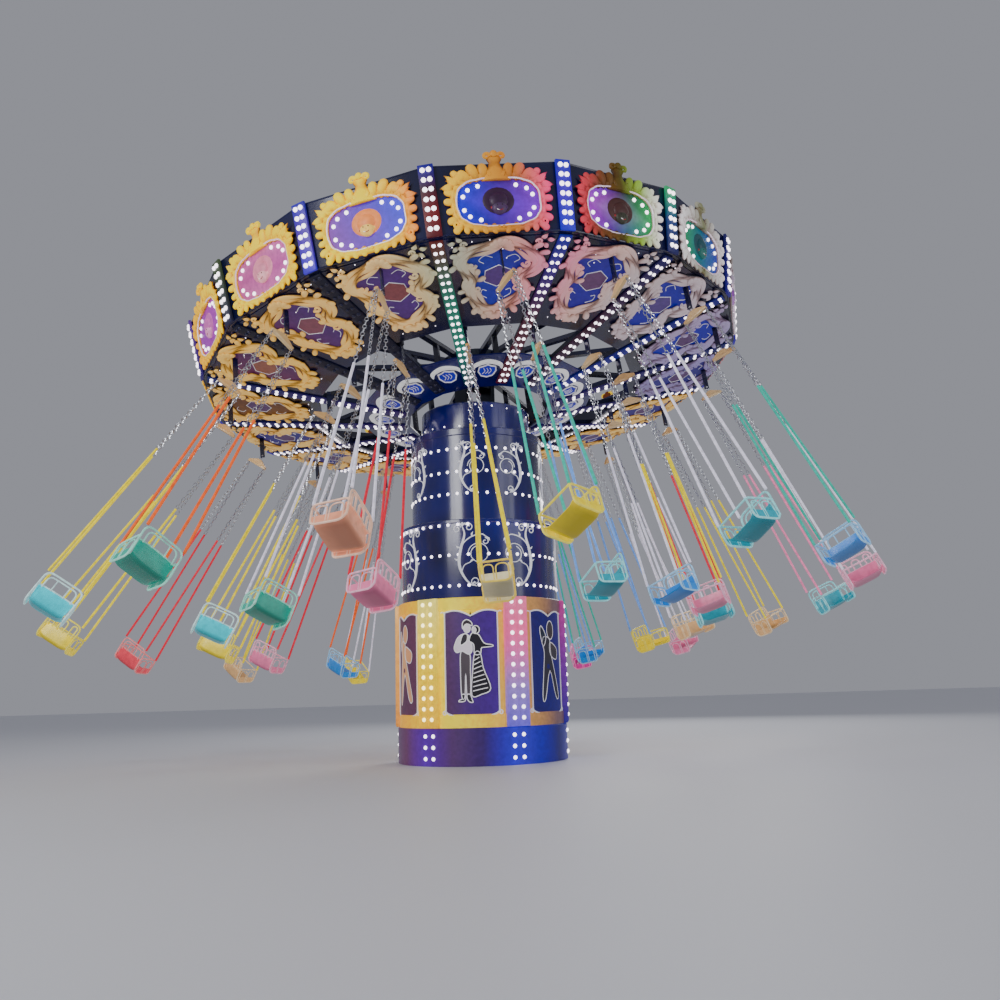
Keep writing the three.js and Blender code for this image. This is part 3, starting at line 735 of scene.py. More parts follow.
# %% [markdown]
# ## The drum
# The drum is a ring of painted panels between six flat pilasters. Gold bands close it above and
# below, and their inner edges run in a double curve with a white line along it. Coloured lamps
# shine along it, so the lacquer goes from orange through yellow to rose and brown round it. The
# plinth is dark, and glows violet and blue below the lamps of two pilasters.
# %% Plinth and drum
PLINTH_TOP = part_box("base_plinth")[1].z
DRUM_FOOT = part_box("base_drum")[0].z
BASE_RADIUS, BAND_RADIUS, FIELD_RADIUS = 1.115, 1.095, 1.075
BAND, SLANT = 0.15, 0.015
DRUM_TINTS = ["e8a030", "e89a2c", "f4a818", "ffb808", "ffe800", "e8a848", "6c5054", "4c3444",
              "c88a38", "e8a030"]
PLINTH_DARK = ["32204e"] * 5
PLINTH_GLOWS = ["4a2a56", "5c2c58", "5410a0", "46205c", "341a60", "1c06c0", "1408a0", "0c0660",
                "1c1090"]
PLINTH_TINTS = PLINTH_DARK + PLINTH_GLOWS + PLINTH_DARK
turned("plinth", [
    (0, 0), (BASE_RADIUS - 0.006, 0), (BASE_RADIUS, 0.006), (BASE_RADIUS, PLINTH_TOP - 0.012),
    (BASE_RADIUS - 0.012, PLINTH_TOP), (0, PLINTH_TOP),
], "base", [LACQUER], "base_plinth", PLINTH_TINTS)
turned("drum", [
    (0, DRUM_FOOT), (BAND_RADIUS, DRUM_FOOT), (BAND_RADIUS, DRUM_FOOT + BAND),
    (FIELD_RADIUS, DRUM_FOOT + BAND + SLANT), (FIELD_RADIUS, DRUM_TOP - BAND - SLANT),
    (BAND_RADIUS, DRUM_TOP - BAND), (BAND_RADIUS, DRUM_TOP - 0.01), (BAND_RADIUS - 0.01, DRUM_TOP),
    (0, DRUM_TOP),
], "base", [LACQUER], "base_drum", DRUM_TINTS)

# %% [markdown]
# The picture fields are thin curved sheets, so each is a grid bent round the drum, and its upper
# and lower edges follow the double curve of the bands.
# %% Picture fields
FIRST_PILASTER = -36.5
PANELS = 6
PANEL_SECTOR = 360 / PANELS
FIELD_HALF = 0.335
FIELD_LOW, FIELD_HIGH = PLINTH_TOP + 0.165, DRUM_TOP - 0.165
LINE = 0.011
SHEET_LEVEL, BORDER_LEVEL = 0.005, 0.009
BORDER_STEPS, FOOT_CURL = 28, 0.032
EAR = [(0, 0.03), (0.03, 0.012), (0.055, 0.02)]      # outwards and down from the upper corner


def field_edge(share, high):
    """The bands' inner edges: two swells and a point in the middle above, one long sag below."""
    side = abs(share)
    if high:
        return FIELD_HIGH - 0.05 * (1 - side) ** 1.5 + 0.035 * math.sin(math.pi * side) - 0.02
    return FIELD_LOW - 0.035 * math.cos(math.pi * share / 2) ** 0.6 + 0.03 * side ** 6


def bent(bm, azimuth, radius):
    for vert in bm.verts:
        x, y, z = vert.co
        vert.co = at(azimuth + math.degrees(x / radius), radius + z, y)


FIELD_TINTS = [["54285c", "44187c", "4a1890"], ["140870", "080080"], ["43206e", "5c2c8c"],
               ["301c70", "4a2a8a"], ["43206e", "3a2860"], ["5c3454", "6a3a5c"]]


def picture_sheet(colours):
    bm = painted()
    made = bmesh.ops.create_grid(bm, x_segments=16, y_segments=8, size=1)["verts"]
    tint(bm, made, colours, lambda co: (co.x + 1) / 2)
    for vert in made:
        share = vert.co.x
        low, high = field_edge(share, False), field_edge(share, True)
        vert.co = (share * FIELD_HALF, low + (vert.co.y + 1) / 2 * (high - low), SHEET_LEVEL)
    return bm


def field_border():
    """A white line round the field, with a curl at each foot and an ear at each upper corner."""
    bm = bmesh.new()
    shares = [2 * step / BORDER_STEPS - 1 for step in range(BORDER_STEPS + 1)]
    top = [(share * FIELD_HALF, field_edge(share, True)) for share in shares]
    bottom = [(share * FIELD_HALF, field_edge(share, False)) for share in reversed(shares)]
    draw(bm, top + bottom, BORDER_LEVEL, LINE, closed=True)
    for hand in (1, -1):
        centre = (hand * (FIELD_HALF + 0.015), FIELD_LOW + 0.012)
        foot = spiral(centre, FOOT_CURL, 1.1, math.pi * (0.5 + 0.25 * hand), -hand, 14)
        draw(bm, foot, BORDER_LEVEL, LINE * 0.8)
        ear = smooth([(hand * (FIELD_HALF + x), FIELD_HIGH - y) for x, y in EAR])
        draw(bm, ear, BORDER_LEVEL, LINE * 0.8)
    return bm


def picture_fields():
    for i, colours in enumerate(FIELD_TINTS):
        azimuth = FIRST_PILASTER + (i + 0.5) * PANEL_SECTOR
        for name, bm, finish in (("picture_field", picture_sheet(colours), PRINT),
                                 ("field_border", field_border(), WHITE_LINE)):
            bent(bm, azimuth, FIELD_RADIUS)
            new_piece(f"{name}_{i + 1}", bm, "base", [finish])


picture_fields()

# %% [markdown]
# In each field a dancing pair or a single dancer is cut from thin sheet, as a sign maker cuts
# plain figures: dark cloth, pale sleeves, no features. Each part is an outline filled and made
# thick by extrusion, and a fine white bead runs along its edge.
# %% Cut-out shapes
INK = enamel("black_cutout_enamel", "0e0a16", "1a1424", 0.35)
DUSK = enamel("grey_cutout_enamel", "4a4048", "5c5058", 0.35)
PALE = enamel("pale_cutout_enamel", "ecdcec", "f8f0f8", 0.35, 0.1)
PEACH = enamel("peach_cutout_enamel", "f0a468", "f8bc84", 0.35, 0.15)
NIGHT_FIGURE = enamel("midnight_cutout_enamel", "1c1630", "262040", 0.35)
CUT_MATERIALS = [WHITE_LINE, INK, DUSK, PALE, PEACH, NIGHT_FIGURE]
WHITE, BLACK, GREY, LIGHT, WARM, MIDNIGHT = range(6)
CUT_THICK, CUT_STEP = 0.003, 0.0012      # a sheet, and how far each lies above the last
CUT_BEAD, BEAD_FLAT = 0.0065, 0.35


def bead(bm, path, level, radius, closed=False):
    """A white bead along a cut-out, pressed flat."""
    pressed = Matrix.Translation((0, 0, level)) @ Matrix.Diagonal((1, 1, BEAD_FLAT, 1))
    line = wire([(x, y, 0) for x, y in path], radius, closed, FINE, WHITE)
    stamp(bm, line, pressed)


def cut_out(bm, outline, level, material, scale):
    outline = [(x * scale, y * scale) for x, y in smooth(outline, 4, closed=True)]
    plate(bm, outline, CUT_THICK, Matrix.Translation((0, 0, level)), material)
    bead(bm, outline, level + CUT_THICK, CUT_BEAD, closed=True)


def round_shape(x, y, across, tall, count=10):
    turns = [2 * math.pi * i / count for i in range(count)]
    return [(x + across * math.cos(turn), y + tall * math.sin(turn)) for turn in turns]


PAIR = [
    ([(-0.125, 0.14), (-0.02, 0.11), (-0.012, -0.10), (-0.02, -0.42), (-0.062, -0.42),
      (-0.075, -0.14), (-0.088, -0.42), (-0.13, -0.42), (-0.14, -0.08)], GREY),
    ([(-0.13, -0.40), (-0.085, -0.40), (-0.088, -0.475), (-0.165, -0.485), (-0.16, -0.465),
      (-0.125, -0.45)], BLACK),
    ([(-0.06, -0.40), (-0.02, -0.40), (0.005, -0.47), (0.012, -0.495), (-0.03, -0.49),
      (-0.06, -0.45)], BLACK),
    ([(-0.09, 0.355), (-0.165, 0.31), (-0.215, 0.19), (-0.185, 0.125), (-0.11, 0.14),
      (-0.03, 0.10), (0.015, 0.15), (0.0, 0.28), (-0.035, 0.34)], LIGHT),
    ([(-0.10, 0.345), (-0.135, 0.25), (-0.12, 0.215), (-0.05, 0.265), (-0.045, 0.35)], BLACK),
    (round_shape(-0.045, 0.425, 0.042, 0.055), LIGHT),
    ([(-0.10, 0.42), (-0.098, 0.50), (-0.045, 0.535), (0.012, 0.50), (0.018, 0.455),
      (-0.03, 0.475), (-0.075, 0.46)], BLACK),
    ([(0.045, 0.11), (0.115, 0.11), (0.15, -0.08), (0.235, -0.33), (0.12, -0.40), (0.0, -0.41),
      (0.015, -0.12)], BLACK),
    ([(0.02, 0.365), (0.10, 0.34), (0.165, 0.235), (0.265, 0.21), (0.268, 0.19), (0.16, 0.18),
      (0.13, 0.17), (0.115, 0.10), (0.045, 0.10), (0.035, 0.22), (-0.02, 0.27)], BLACK),
    (round_shape(0.065, 0.405, 0.046, 0.05), BLACK),
    (round_shape(0.045, 0.40, 0.024, 0.032), LIGHT),
]
SINGLE = [
    [(-0.10, 0.30), (0.02, 0.27), (0.04, 0.10), (0.10, -0.06), (0.215, -0.40), (0.185, -0.47),
     (0.12, -0.40), (0.005, -0.12), (-0.10, -0.46), (-0.155, -0.45), (-0.12, -0.10), (-0.10, 0.10),
     (-0.13, 0.22)],
    [(0.03, 0.23), (0.19, 0.17), (0.215, 0.09), (0.165, 0.02), (0.03, 0.08)],
    [(-0.06, 0.30), (-0.145, 0.43), (-0.175, 0.37), (-0.12, 0.18)],
    round_shape(0.035, 0.385, 0.075, 0.115, 12),
]
PAIR_SCALE, SINGLE_SCALE = 0.98, 1.02
SINGLE_PAINT = {1: MIDNIGHT, 3: BLACK, 5: WARM}
FOLDS, FOLD_TOP, FOLD_PITCH, FOLD_LEVEL = 8, 0.04, 0.053, 0.0155
FIGURE_LEVEL = 1.245
PETALS, PETAL_HALF = ((-48, 0.055), (0, 0.07), (48, 0.055)), 0.010      # turn and length


def fleur(bm, height, level):
    """Three petals that stand out from one point, under the upper band."""
    for turn, long in PETALS:
        c, s = math.cos(math.radians(turn)), math.sin(math.radians(turn))
        tip, half, wide = (long * s, long * c), (long * s / 2, long * c / 2), PETAL_HALF
        petal = [(0, 0), (half[0] - wide * c, half[1] + wide * s), tip,
                 (half[0] + wide * c, half[1] - wide * s)]
        where = Matrix.Translation((0, height, level))
        plate(bm, petal, CUT_THICK, where, BLACK)


def dancers():
    for i in range(PANELS):
        bm = bmesh.new()
        level = SHEET_LEVEL + 0.001
        if i % 2 == 0:
            for step, (outline, material) in enumerate(PAIR):
                cut_out(bm, outline, level + CUT_STEP * step, material, PAIR_SCALE)
            for step in range(FOLDS):
                y = FOLD_TOP - FOLD_PITCH * step
                fold = [(0.035 - 0.003 * step, y - 0.02), (0.07 + 0.005 * step, y),
                        (0.10 + 0.014 * step, y + 0.018)]
                bead(bm, smooth(fold, 3), level + FOLD_LEVEL, 0.006)
        else:
            for step, outline in enumerate(SINGLE):
                cut_out(bm, outline, level + CUT_STEP * step, SINGLE_PAINT[i], SINGLE_SCALE)
        bmesh.ops.translate(bm, verts=bm.verts, vec=(0, FIGURE_LEVEL, 0))
        fleur(bm, FIELD_HIGH - 0.085, BORDER_LEVEL)
        bent(bm, FIRST_PILASTER + (i + 0.5) * PANEL_SECTOR, FIELD_RADIUS)
        new_piece(f"dancers_{i + 1}", bm, "base", CUT_MATERIALS)


dancers()

# %% [markdown]
# The pilasters are flat boxes with a thin rib down the middle. Two rows of bulbs run down every
# pilaster and on down the plinth.
# %% Pilasters and their bulbs
PILASTER_FACE, PILASTER_WIDTH, PILASTER_DEPTH = 1.135, 0.30, 0.075
COLUMN_GAP = 0.062
LAMP_STEP, LAMP_ROWS = 0.129, 12
PLINTH_ROWS = (0.09, 0.225, 0.36)
# Painted light: each pilaster's tints, from foot to top, are the light of its coloured lamps.
PILASTER_TINTS = [["ffc400", "ffdc00", "fff070"], ["6858d8", "9a7ac8", "f8589c", "f0709a"],
                  ["2a1a90", "7a2aa0", "c04090"], ["e0a02c", "f2c23a"], ["e0a02c", "f2c23a"],
                  ["e89838", "f4b858"]]
PILASTER_LAMPS = [BULB_WARM, BULB_WHITE, BULB_WHITE, BULB_WARM, BULB_WHITE, BULB_WARM]


def pilaster_box(face, colours):
    """A flat box, a rib down its middle and a bead down each side."""
    bm = painted()
    tall, middle = DRUM_TOP - DRUM_FOOT, (DRUM_TOP + DRUM_FOOT) / 2
    side = PILASTER_WIDTH / 2 - 0.014
    for width, cut, deep, x, z, bevel in (
            (PILASTER_WIDTH, 0.002, PILASTER_DEPTH, 0, -PILASTER_DEPTH / 2, 0.006),
            (0.014, 0.06, 0.014, 0, 0.002, 0.003),
            (0.016, 0.03, 0.012, -side, 0.001, 0.003), (0.016, 0.03, 0.012, side, 0.001, 0.003)):
        block(bm, (width, tall - cut, deep), face @ Matrix.Translation((x, middle, z)), bevel)
    long = [edge for edge in bm.edges if edge.calc_length() > tall / 2]
    bmesh.ops.subdivide_edges(bm, edges=long, cuts=6, use_grid_fill=True)
    tint(bm, bm.verts, colours, lambda co: (co.z - DRUM_FOOT) / tall)
    return bm


def pilasters():
    rows = [DRUM_TOP - 0.07 - step * LAMP_STEP for step in range(LAMP_ROWS)]
    for i, (colours, finish) in enumerate(zip(PILASTER_TINTS, PILASTER_LAMPS)):
        azimuth = FIRST_PILASTER + i * PANEL_SECTOR
        face = on_tube(azimuth, PILASTER_FACE, 0)
        box = new_piece(f"pilaster_box_{i + 1}", pilaster_box(face, colours), "base", [LACQUER])
        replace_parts(box, f"pilaster_{i + 1}")
        spots_on = [face @ Matrix.Translation((side * COLUMN_GAP, z, 0))
                    for z in rows for side in (-1, 1)]
        bulbs(f"pilaster_bulbs_{i + 1}", spots_on, "base", finish, size=1.25)
        turn = math.degrees(COLUMN_GAP / BASE_RADIUS)
        foot = [on_tube(azimuth + side * turn, BASE_RADIUS, z)
                for z in PLINTH_ROWS for side in (-1, 1)]
        bulbs(f"plinth_bulbs_{i + 1}", foot, "base", size=1.2)


pilasters()

# %% [markdown]
# ## The crown
# Sixteen boards lean out round the rim. Each carries a gilded baroque frame round a lit oval
# field, and a light box with pairs of bulbs covers each joint. The boards are one section spun
# in sixteen steps, and one frame is modelled and stamped round.
# %% Crown places and boards
RIM = 3.69
CROWN_LEAN = 0.176
BOARD_HEIGHT, BOARD_THICKNESS = 0.79, 0.04
FOOT_RAIL, TOP_RAIL = 0.012, 0.014


def board_place(k):
    azimuth = arm_azimuth(k + 0.5)
    up = UP + outward(azimuth) * CROWN_LEAN * HALF
    return place(at(azimuth, RIM * HALF, 0), sideways(azimuth), up)


def box_place(k):
    azimuth = arm_azimuth(k)
    up = UP + outward(azimuth) * CROWN_LEAN
    return place(at(azimuth, RIM, 0), sideways(azimuth), up)


def crown_boards():
    bm = bmesh.new()
    lean, back = CROWN_LEAN * BOARD_HEIGHT, RIM - BOARD_THICKNESS
    section = [(back, 0), (RIM, 0), (RIM + lean, BOARD_HEIGHT), (back + lean, BOARD_HEIGHT)]
    verts = [bm.verts.new(at(arm_azimuth(0), r, z)) for r, z in section]
    edges = [bm.edges.new((verts[i], verts[(i + 1) % 4])) for i in range(4)]
    bmesh.ops.spin(bm, geom=verts + edges, cent=(0, 0, 0), axis=(0, 0, 1), angle=2 * math.pi,
                   steps=SECTORS, use_merge=True)
    bmesh.ops.recalc_face_normals(bm, faces=bm.faces)
    for radius, height, thick in ((RIM + FOOT_RAIL, FOOT_RAIL, FOOT_RAIL),
                                  (RIM + lean - 0.01, BOARD_HEIGHT - 0.004, TOP_RAIL)):
        rail = [at(arm_azimuth(k), radius, height) for k in range(SECTORS)]
        bm.from_mesh(wire(rail, thick, closed=True, sides=FINE))
    piece = new_piece("crown_boards", bm, "canopy", [NIGHT], CANOPY)
    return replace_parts(piece, "crown_1", "crown_2", "crown_3", "crown_4")


crown_boards()

# %% Light boxes and their bulbs
BOX_WIDTH, BOX_DEPTH, BOX_HEIGHT = 0.17, 0.035, 0.815
BOX_TINTS = {
    0: ["500612", "60060e", "30041a", "140880"], 1: ["1a0cc0", "3c10b0", "2008a8"],
    2: ["101050", "10306a", "20a060"], 3: ["20107a", "14145a"], 15: ["3a20c0", "4a20a0", "2a1aa0"],
    14: ["1a1a3a", "3a4a2a"], 13: ["2a1a6a", "5a2a8a"],
}
BOX_DEFAULT = ["30189a", "5a1a5a"]
BOX_ROWS = 7
LOW_ROW, HIGH_ROW = 0.085, 0.75
PAIR_HALF = 0.034


def light_boxes():
    for k in range(SECTORS):
        bm = painted()
        where = box_place(k) @ Matrix.Translation((0, BOX_HEIGHT / 2, BOX_DEPTH / 2 - 0.004))
        block(bm, (BOX_WIDTH, BOX_HEIGHT, BOX_DEPTH), where, 0.006)
        long = [edge for edge in bm.edges if edge.calc_length() > BOX_HEIGHT / 2]
        bmesh.ops.subdivide_edges(bm, edges=long, cuts=5, use_grid_fill=True)
        base = box_place(k).inverted()
        tint(bm, bm.verts, BOX_TINTS.get(k, BOX_DEFAULT), lambda co: (base @ co).y / BOX_HEIGHT)
        new_piece(f"crown_light_box_{k + 1}", bm, "canopy", [ACRYLIC], CANOPY)
    rows = [LOW_ROW + row * (HIGH_ROW - LOW_ROW) / (BOX_ROWS - 1) for row in range(BOX_ROWS)]
    spots_on = [box_place(k) @ Matrix.Translation((side * PAIR_HALF, y, BOX_DEPTH))
                for k in range(SECTORS) for y in rows for side in (-1, 1)]
    bulbs("crown_box_bulbs", spots_on, "canopy", placed=CANOPY, size=1.35)


light_boxes()

# %% [markdown]
# The gilded frame is a moulding round an eight-sided oval, with a pale scalloped bead along its
# inner edge. Rounded lobes like fingers point outwards on both sides, leaves stand on its top
# edge, and a vase with two ears and a knob rises in the middle. A leaf or a lobe is a ball
# pulled long, bent at the tip and creased down its middle, which costs few faces and still
# catches the light like carving.
# %% Leaves, lobes and scrolls
def long_ball():
    """A ball with its poles along y, to be pulled into a leaf or a finger."""
    bm = painted()
    bmesh.ops.create_uvsphere(bm, u_segments=8, v_segments=8, radius=1)
    bmesh.ops.rotate(bm, verts=bm.verts, cent=(0, 0, 0),
                     matrix=Matrix.Rotation(math.pi / 2, 3, "X"))
    return bm


def leaf_template(length, width, thick, curl):
    """A leaf with a groove down its middle, which bends aside and forwards at its tip."""
    bm = long_ball()
    for vert in bm.verts:
        x, y, z = vert.co
        along = (y + 1) / 2
        broad = 0.55 + 0.6 * math.sin(math.pi * min(along * 1.15, 1)) - 0.35 * along
        groove = 0.35 * math.exp(-((x / 0.3) ** 2)) * (1 if z > 0 else 0)
        rise = thick * 0.35 * math.sin(math.pi * along)
        vert.co = (x * width / 2 * broad + curl * width * along ** 2, along * length,
                   (z - groove) * thick / 2 * (1 - 0.35 * along) + rise)
    depths(bm, 0, thick * 0.75)
    return template(bm)


def lobe_template(length, width, thick, curl):
    """A finger with a round end, thickest near the end, as in the side lobes of the frame."""
    bm = long_ball()
    for vert in bm.verts:
        x, y, z = vert.co
        along = (y + 1) / 2
        bend = curl * width * math.sin(math.pi * along / 2) ** 2
        vert.co = (x * width / 2 * (0.7 + 0.5 * along) + bend, along * length,
                   z * thick / 2 * (0.6 + 0.5 * along) + thick * 0.3 * along)
    depths(bm, -thick * 0.1, thick * 0.75)
    return template(bm)


LEAF = leaf_template(0.13, 0.085, 0.05, 0.35)
LEAF_SMALL = leaf_template(0.09, 0.06, 0.04, 0.3)
PETAL = leaf_template(0.20, 0.075, 0.05, 0.0)
LOBE = lobe_template(0.150, 0.100, 0.060, 0.35)
LOBE_LOW = lobe_template(0.12, 0.100, 0.050, 0.45)
MIRROR = Matrix.Diagonal((-1, 1, 1, 1))


def stamp_both(bm, mesh, where, hand):
    first = len(bm.faces)
    stamp(bm, mesh, where if hand > 0 else where @ MIRROR)
    if hand < 0:
        bm.faces.ensure_lookup_table()
        bmesh.ops.reverse_faces(bm, faces=bm.faces[first:])


def flat_turn(x, y, angle, z, scale):
    turn = Matrix.Rotation(angle, 4, "Z")
    return Matrix.Translation((x, y, z)) @ turn @ Matrix.Scale(scale, 4)


SCROLL_SHINE, SCROLL_STEPS = 0.75, 22


def scroll(bm, centre, radius, start_angle, hand, thick, z, turns):
    path = spiral(centre, radius, turns, start_angle, hand, SCROLL_STEPS, 0.2)
    fade = [1 - 0.45 * i / SCROLL_STEPS for i in range(SCROLL_STEPS + 1)]
    one_depth(bm, draw(bm, path, z, thick, thickness=fade), SCROLL_SHINE)


def carve(bm, carvings, scrolls):
    """Sets every leaf, lobe and scroll on the right and, mirrored, on the left."""
    for hand in (1, -1):
        for mesh, x, y, turn, z, size in carvings:
            stamp_both(bm, mesh, flat_turn(hand * x, y, -hand * math.radians(turn), z, size), hand)
        for x, y, radius, side, wind, thick, z, turns in scrolls:
            start_angle = math.pi * (0.5 + 0.5 * side * hand)
            scroll(bm, (hand * x, y), radius, start_angle, wind * hand, thick, z, turns)


FIELD_X, FIELD_Y, FIELD_MID = 0.445, 0.262, 0.355


def oval(angle, grow=0.0):
    c, s = math.cos(angle), math.sin(angle)
    power = 2 / 2.9
    return ((FIELD_X + grow) * math.copysign(abs(c) ** power, c),
            FIELD_MID + (FIELD_Y + grow) * math.copysign(abs(s) ** power, s))


MOULDING = [(0.078, -0.004), (0.074, 0.022), (0.052, 0.040), (0.030, 0.030), (0.014, 0.038),
            (0.002, 0.024), (0.0, -0.004)]


def ring_of(bm, count, point_at):
    made = bmesh.ops.create_circle(bm, segments=count, radius=1)["verts"]
    for i, vert in enumerate(made):
        vert.co = point_at(2 * math.pi * i / count)
    return list({edge for vert in made for edge in vert.link_edges})


def frame_moulding(bm):
    def point(grow, z):
        ripple = 0.006 if 0.02 < grow < 0.07 else 0
        return lambda a: (*oval(a, grow), z + ripple * math.sin(22 * a))
    rings = [ring_of(bm, 88, point(grow, z)) for grow, z in MOULDING]
    for one, two in zip(rings, rings[1:] + rings[:1]):
        bmesh.ops.bridge_loops(bm, edges=one + two)
    bmesh.ops.recalc_face_normals(bm, faces=bm.faces)


# %% [markdown]
# The vase on top is half a turned shape: its outline is spun and then pressed flat. Its head is
# two ears that curl outwards and a knob between them.
# %% The frame
VASE = [(0.0, 0.60), (0.165, 0.60), (0.155, 0.65), (0.110, 0.715), (0.072, 0.77), (0.062, 0.81),
        (0.085, 0.85), (0.070, 0.885), (0.0, 0.90)]
VASE_FLAT = 0.42
KNOB_RADIUS = 0.045
BEAD_STEPS, SCALLOPS = 120, 13
# Each carving of the right half: its mesh, its place, its turn to the right, its level and size
CROWN_CARVINGS = [
    (LOBE, FIELD_X + 0.005 - 0.055 * (i - 3) ** 2 / 9, 0.10 + i * 0.082, 104.5 - 15 * i,
     0.012 + 0.003 * (i % 2), 0.92 + 0.08 * math.sin(2.2 * i)) for i in range(7)
] + [
    (LOBE_LOW, 0.055 + i * 0.092, 0.118, 142 - 6 * i, 0.010 + 0.003 * (i % 2), 0.92)
    for i in range(5)
] + [
    (LOBE, 0.155 + i * 0.062, 0.60 - 0.012 * i, -22 + 24 * i, 0.014, size)
    for i, size in enumerate((1.25, 1.35, 1.2, 1.0))
] + [
    (LEAF, 0.36 + i * 0.055, 0.585 - i * 0.035, 30 + 22 * i, 0.022, 1.15) for i in range(3)
] + [
    (PETAL, 0.43, 0.55, 48, 0.03, 0.92), (PETAL, 0.05, 0.61, 26, 0.045, 0.62),
    (LEAF_SMALL, 0.02, 0.093, 165, 0.03, 0.62),
]
# Each scroll: its place and radius, the side that it starts on, its winding, wire, level and turns
CROWN_SCROLLS = [
    (0.475, 0.115, 0.045, 1, 1, 0.018, 0.03, 1.1), (0.082, 0.878, 0.042, 1, -1, 0.024, 0.022, 0.9),
]


def vase_template():
    bm = painted()
    verts = [bm.verts.new((r, y, 0)) for r, y in VASE]
    edges = [bm.edges.new(pair) for pair in zip(verts, verts[1:])]
    bmesh.ops.spin(bm, geom=verts + edges, cent=(0, 0, 0), axis=(0, 1, 0), angle=2 * math.pi,
                   steps=16, use_merge=True)
    bmesh.ops.remove_doubles(bm, verts=bm.verts, dist=0.0005)
    bmesh.ops.recalc_face_normals(bm, faces=bm.faces)
    bmesh.ops.scale(bm, vec=(1, 1, VASE_FLAT), verts=bm.verts)
    depths(bm, 0.0, 0.05)
    return template(bm)


def knob_template():
    bm = painted()
    bmesh.ops.create_uvsphere(bm, u_segments=10, v_segments=7, radius=KNOB_RADIUS)
    bmesh.ops.scale(bm, vec=(1, 1, 0.7), verts=bm.verts)
    depths(bm, 0.0, KNOB_RADIUS * 0.6)
    return template(bm)


def scalloped_bead():
    turns = [i / BEAD_STEPS for i in range(BEAD_STEPS)]
    waves = [0.006 + 0.007 * abs(math.sin(math.pi * SCALLOPS * turn)) for turn in turns]
    return [oval(2 * math.pi * turn, wave) for turn, wave in zip(turns, waves)]


def crown_frame_template():
    bm = painted()
    frame_moulding(bm)
    depths(bm, 0.008, 0.046)
    draw(bm, scalloped_bead(), 0.030, 0.0095, closed=True, material=1)
    stamp(bm, vase_template())
    stamp(bm, knob_template(), Matrix.Translation((0, 0.905, 0.022)))
    carve(bm, CROWN_CARVINGS, CROWN_SCROLLS)
    return template(bm)


crown_frame = crown_frame_template()

# %% [markdown]
# The light of the coloured lamps falls on each frame from its own sides, so the wash runs from
# left to right: plain gold, bronze, rose, dark red or green. Its near white stops are painted
# highlights, and its dark grey ones painted shade.
# %% Frames round the crown
FRAME_WASH = {
    12: [("ff9c28", 0.5), ("ffb040", 0.3)], 13: [("ff9020", 0.55), ("ffc030", 0.2)],
    14: [("ffd420", 0.2), ("ffb418", 0.2)],
    15: [("ffd820", 0.2), ("ffd420", 0.1), ("ff8444", 0.85)],
    0: [("ffb43c", 0.5), ("d08030", 0.8), ("b4502c", 0.85), ("ff3484", 0.95)],
    1: [("d81850", 0.95), ("5a1018", 0.95), ("30240c", 0.95), ("7ab040", 0.9), ("f0f0ff", 0.8)],
    2: [("e8e8ff", 0.8), ("4a5a50", 0.9), ("d8d8f4", 0.8)], 3: [("3a3a5a", 0.9), ("c8c8f0", 0.8)],
    4: [("b040a0", 0.7), ("7040c0", 0.7)], 5: [("7040c0", 0.5), ("c08040", 0.3)],
}
PLAIN_GOLD = [("ffc020", 0.1), ("ffb020", 0.2)]
FRAME_WIDTH, FRAME_LEVEL = 1.1, 0.006


def washed_frames(name, mesh, place_of, washes, plain, materials):
    """Four frames to a piece, and on each the lamps' light, from its left to its right."""
    for q in range(4):
        bm = painted()
        for k in range(4 * q, 4 * q + 4):
            back = place_of(k).inverted()
            wash(bm, stamp(bm, mesh, place_of(k)), washes.get(k, plain),
                 lambda co: (back @ co).x / FRAME_WIDTH + 0.5)
        new_piece(f"{name}_{q + 1}", bm, "canopy", materials, CANOPY)


def crown_frame_place(k):
    return board_place(k) @ Matrix.Translation((0, 0, FRAME_LEVEL))


washed_frames("crown_frames", crown_frame, crown_frame_place, FRAME_WASH, PLAIN_GOLD, [GILT, BEAD])
print("faces in one crown frame:", len(crown_frame.polygons))

# %% [markdown]
# In the middle of each field sits a small doll's head in a round hat, moulded in one with the
# panel. It is a plain toy face: a ball with a small nose, two dots for eyes and a curved mouth.
# %% Lit fields inside the frames
FIELD_GLOWS = {
    15: ["7014a0", "6410a8", "2a14d0", "2420d8"], 14: ["b04a8a", "d070a8", "b8509a"],
    13: ["8a2aa0", "a838b0"], 0: ["1418d0", "1c14c0", "2a1250", "5a18b0", "7a1cc8"],
    1: ["a81ac8", "5014c8", "241228", "0c4a38", "18a050"], 2: ["108a4a", "0c5a70", "2030a0"],
    3: ["4020b0", "6a2a9a"],
}
FIELD_DEFAULT = ["4a20b0", "2a2ac0"]
FIELD_BULB_ANGLES = (-66, -40, -14, 14, 40, 66)
HEAD_TINTS = {15: ("f08c48", "f8c860"), 14: ("d88098", "f0a8b0"), 13: ("c060a8", "d890b8"),
              0: ("2c1030", "40284c"), 1: ("3c1e1c", "2c2c20"), 2: ("10404a", "20605a")}
HEAD_DEFAULT = ("7a3a90", "a070b0")
# The balls of a head: colour, place, half sizes and segments. One with an x has a twin.
DOLL = [
    ("hat", 0, 0.375, 0.010, (0.175, 0.155, 0.022), 20),
    ("hat", 0, 0.365, 0.022, (0.1085, 0.1023, 0.05), 16),
    ("face", 0, 0.292, 0.028, (0.082, 0.0861, 0.045), 16),
    ("face", 0, 0.284, 0.073, (0.012, 0.014, 0.010), 8),
    ("1a0e10", 0.028, 0.306, 0.066, (0.009, 0.012, 0.006), 8),
    ("face", 0.08036, 0.292, 0.022, (0.016, 0.022, 0.016), 8),
]
SMILE, SMILE_LEVEL = (-0.9, -0.5, 0, 0.5, 0.9), 0.280
FIELD_STEPS = 64


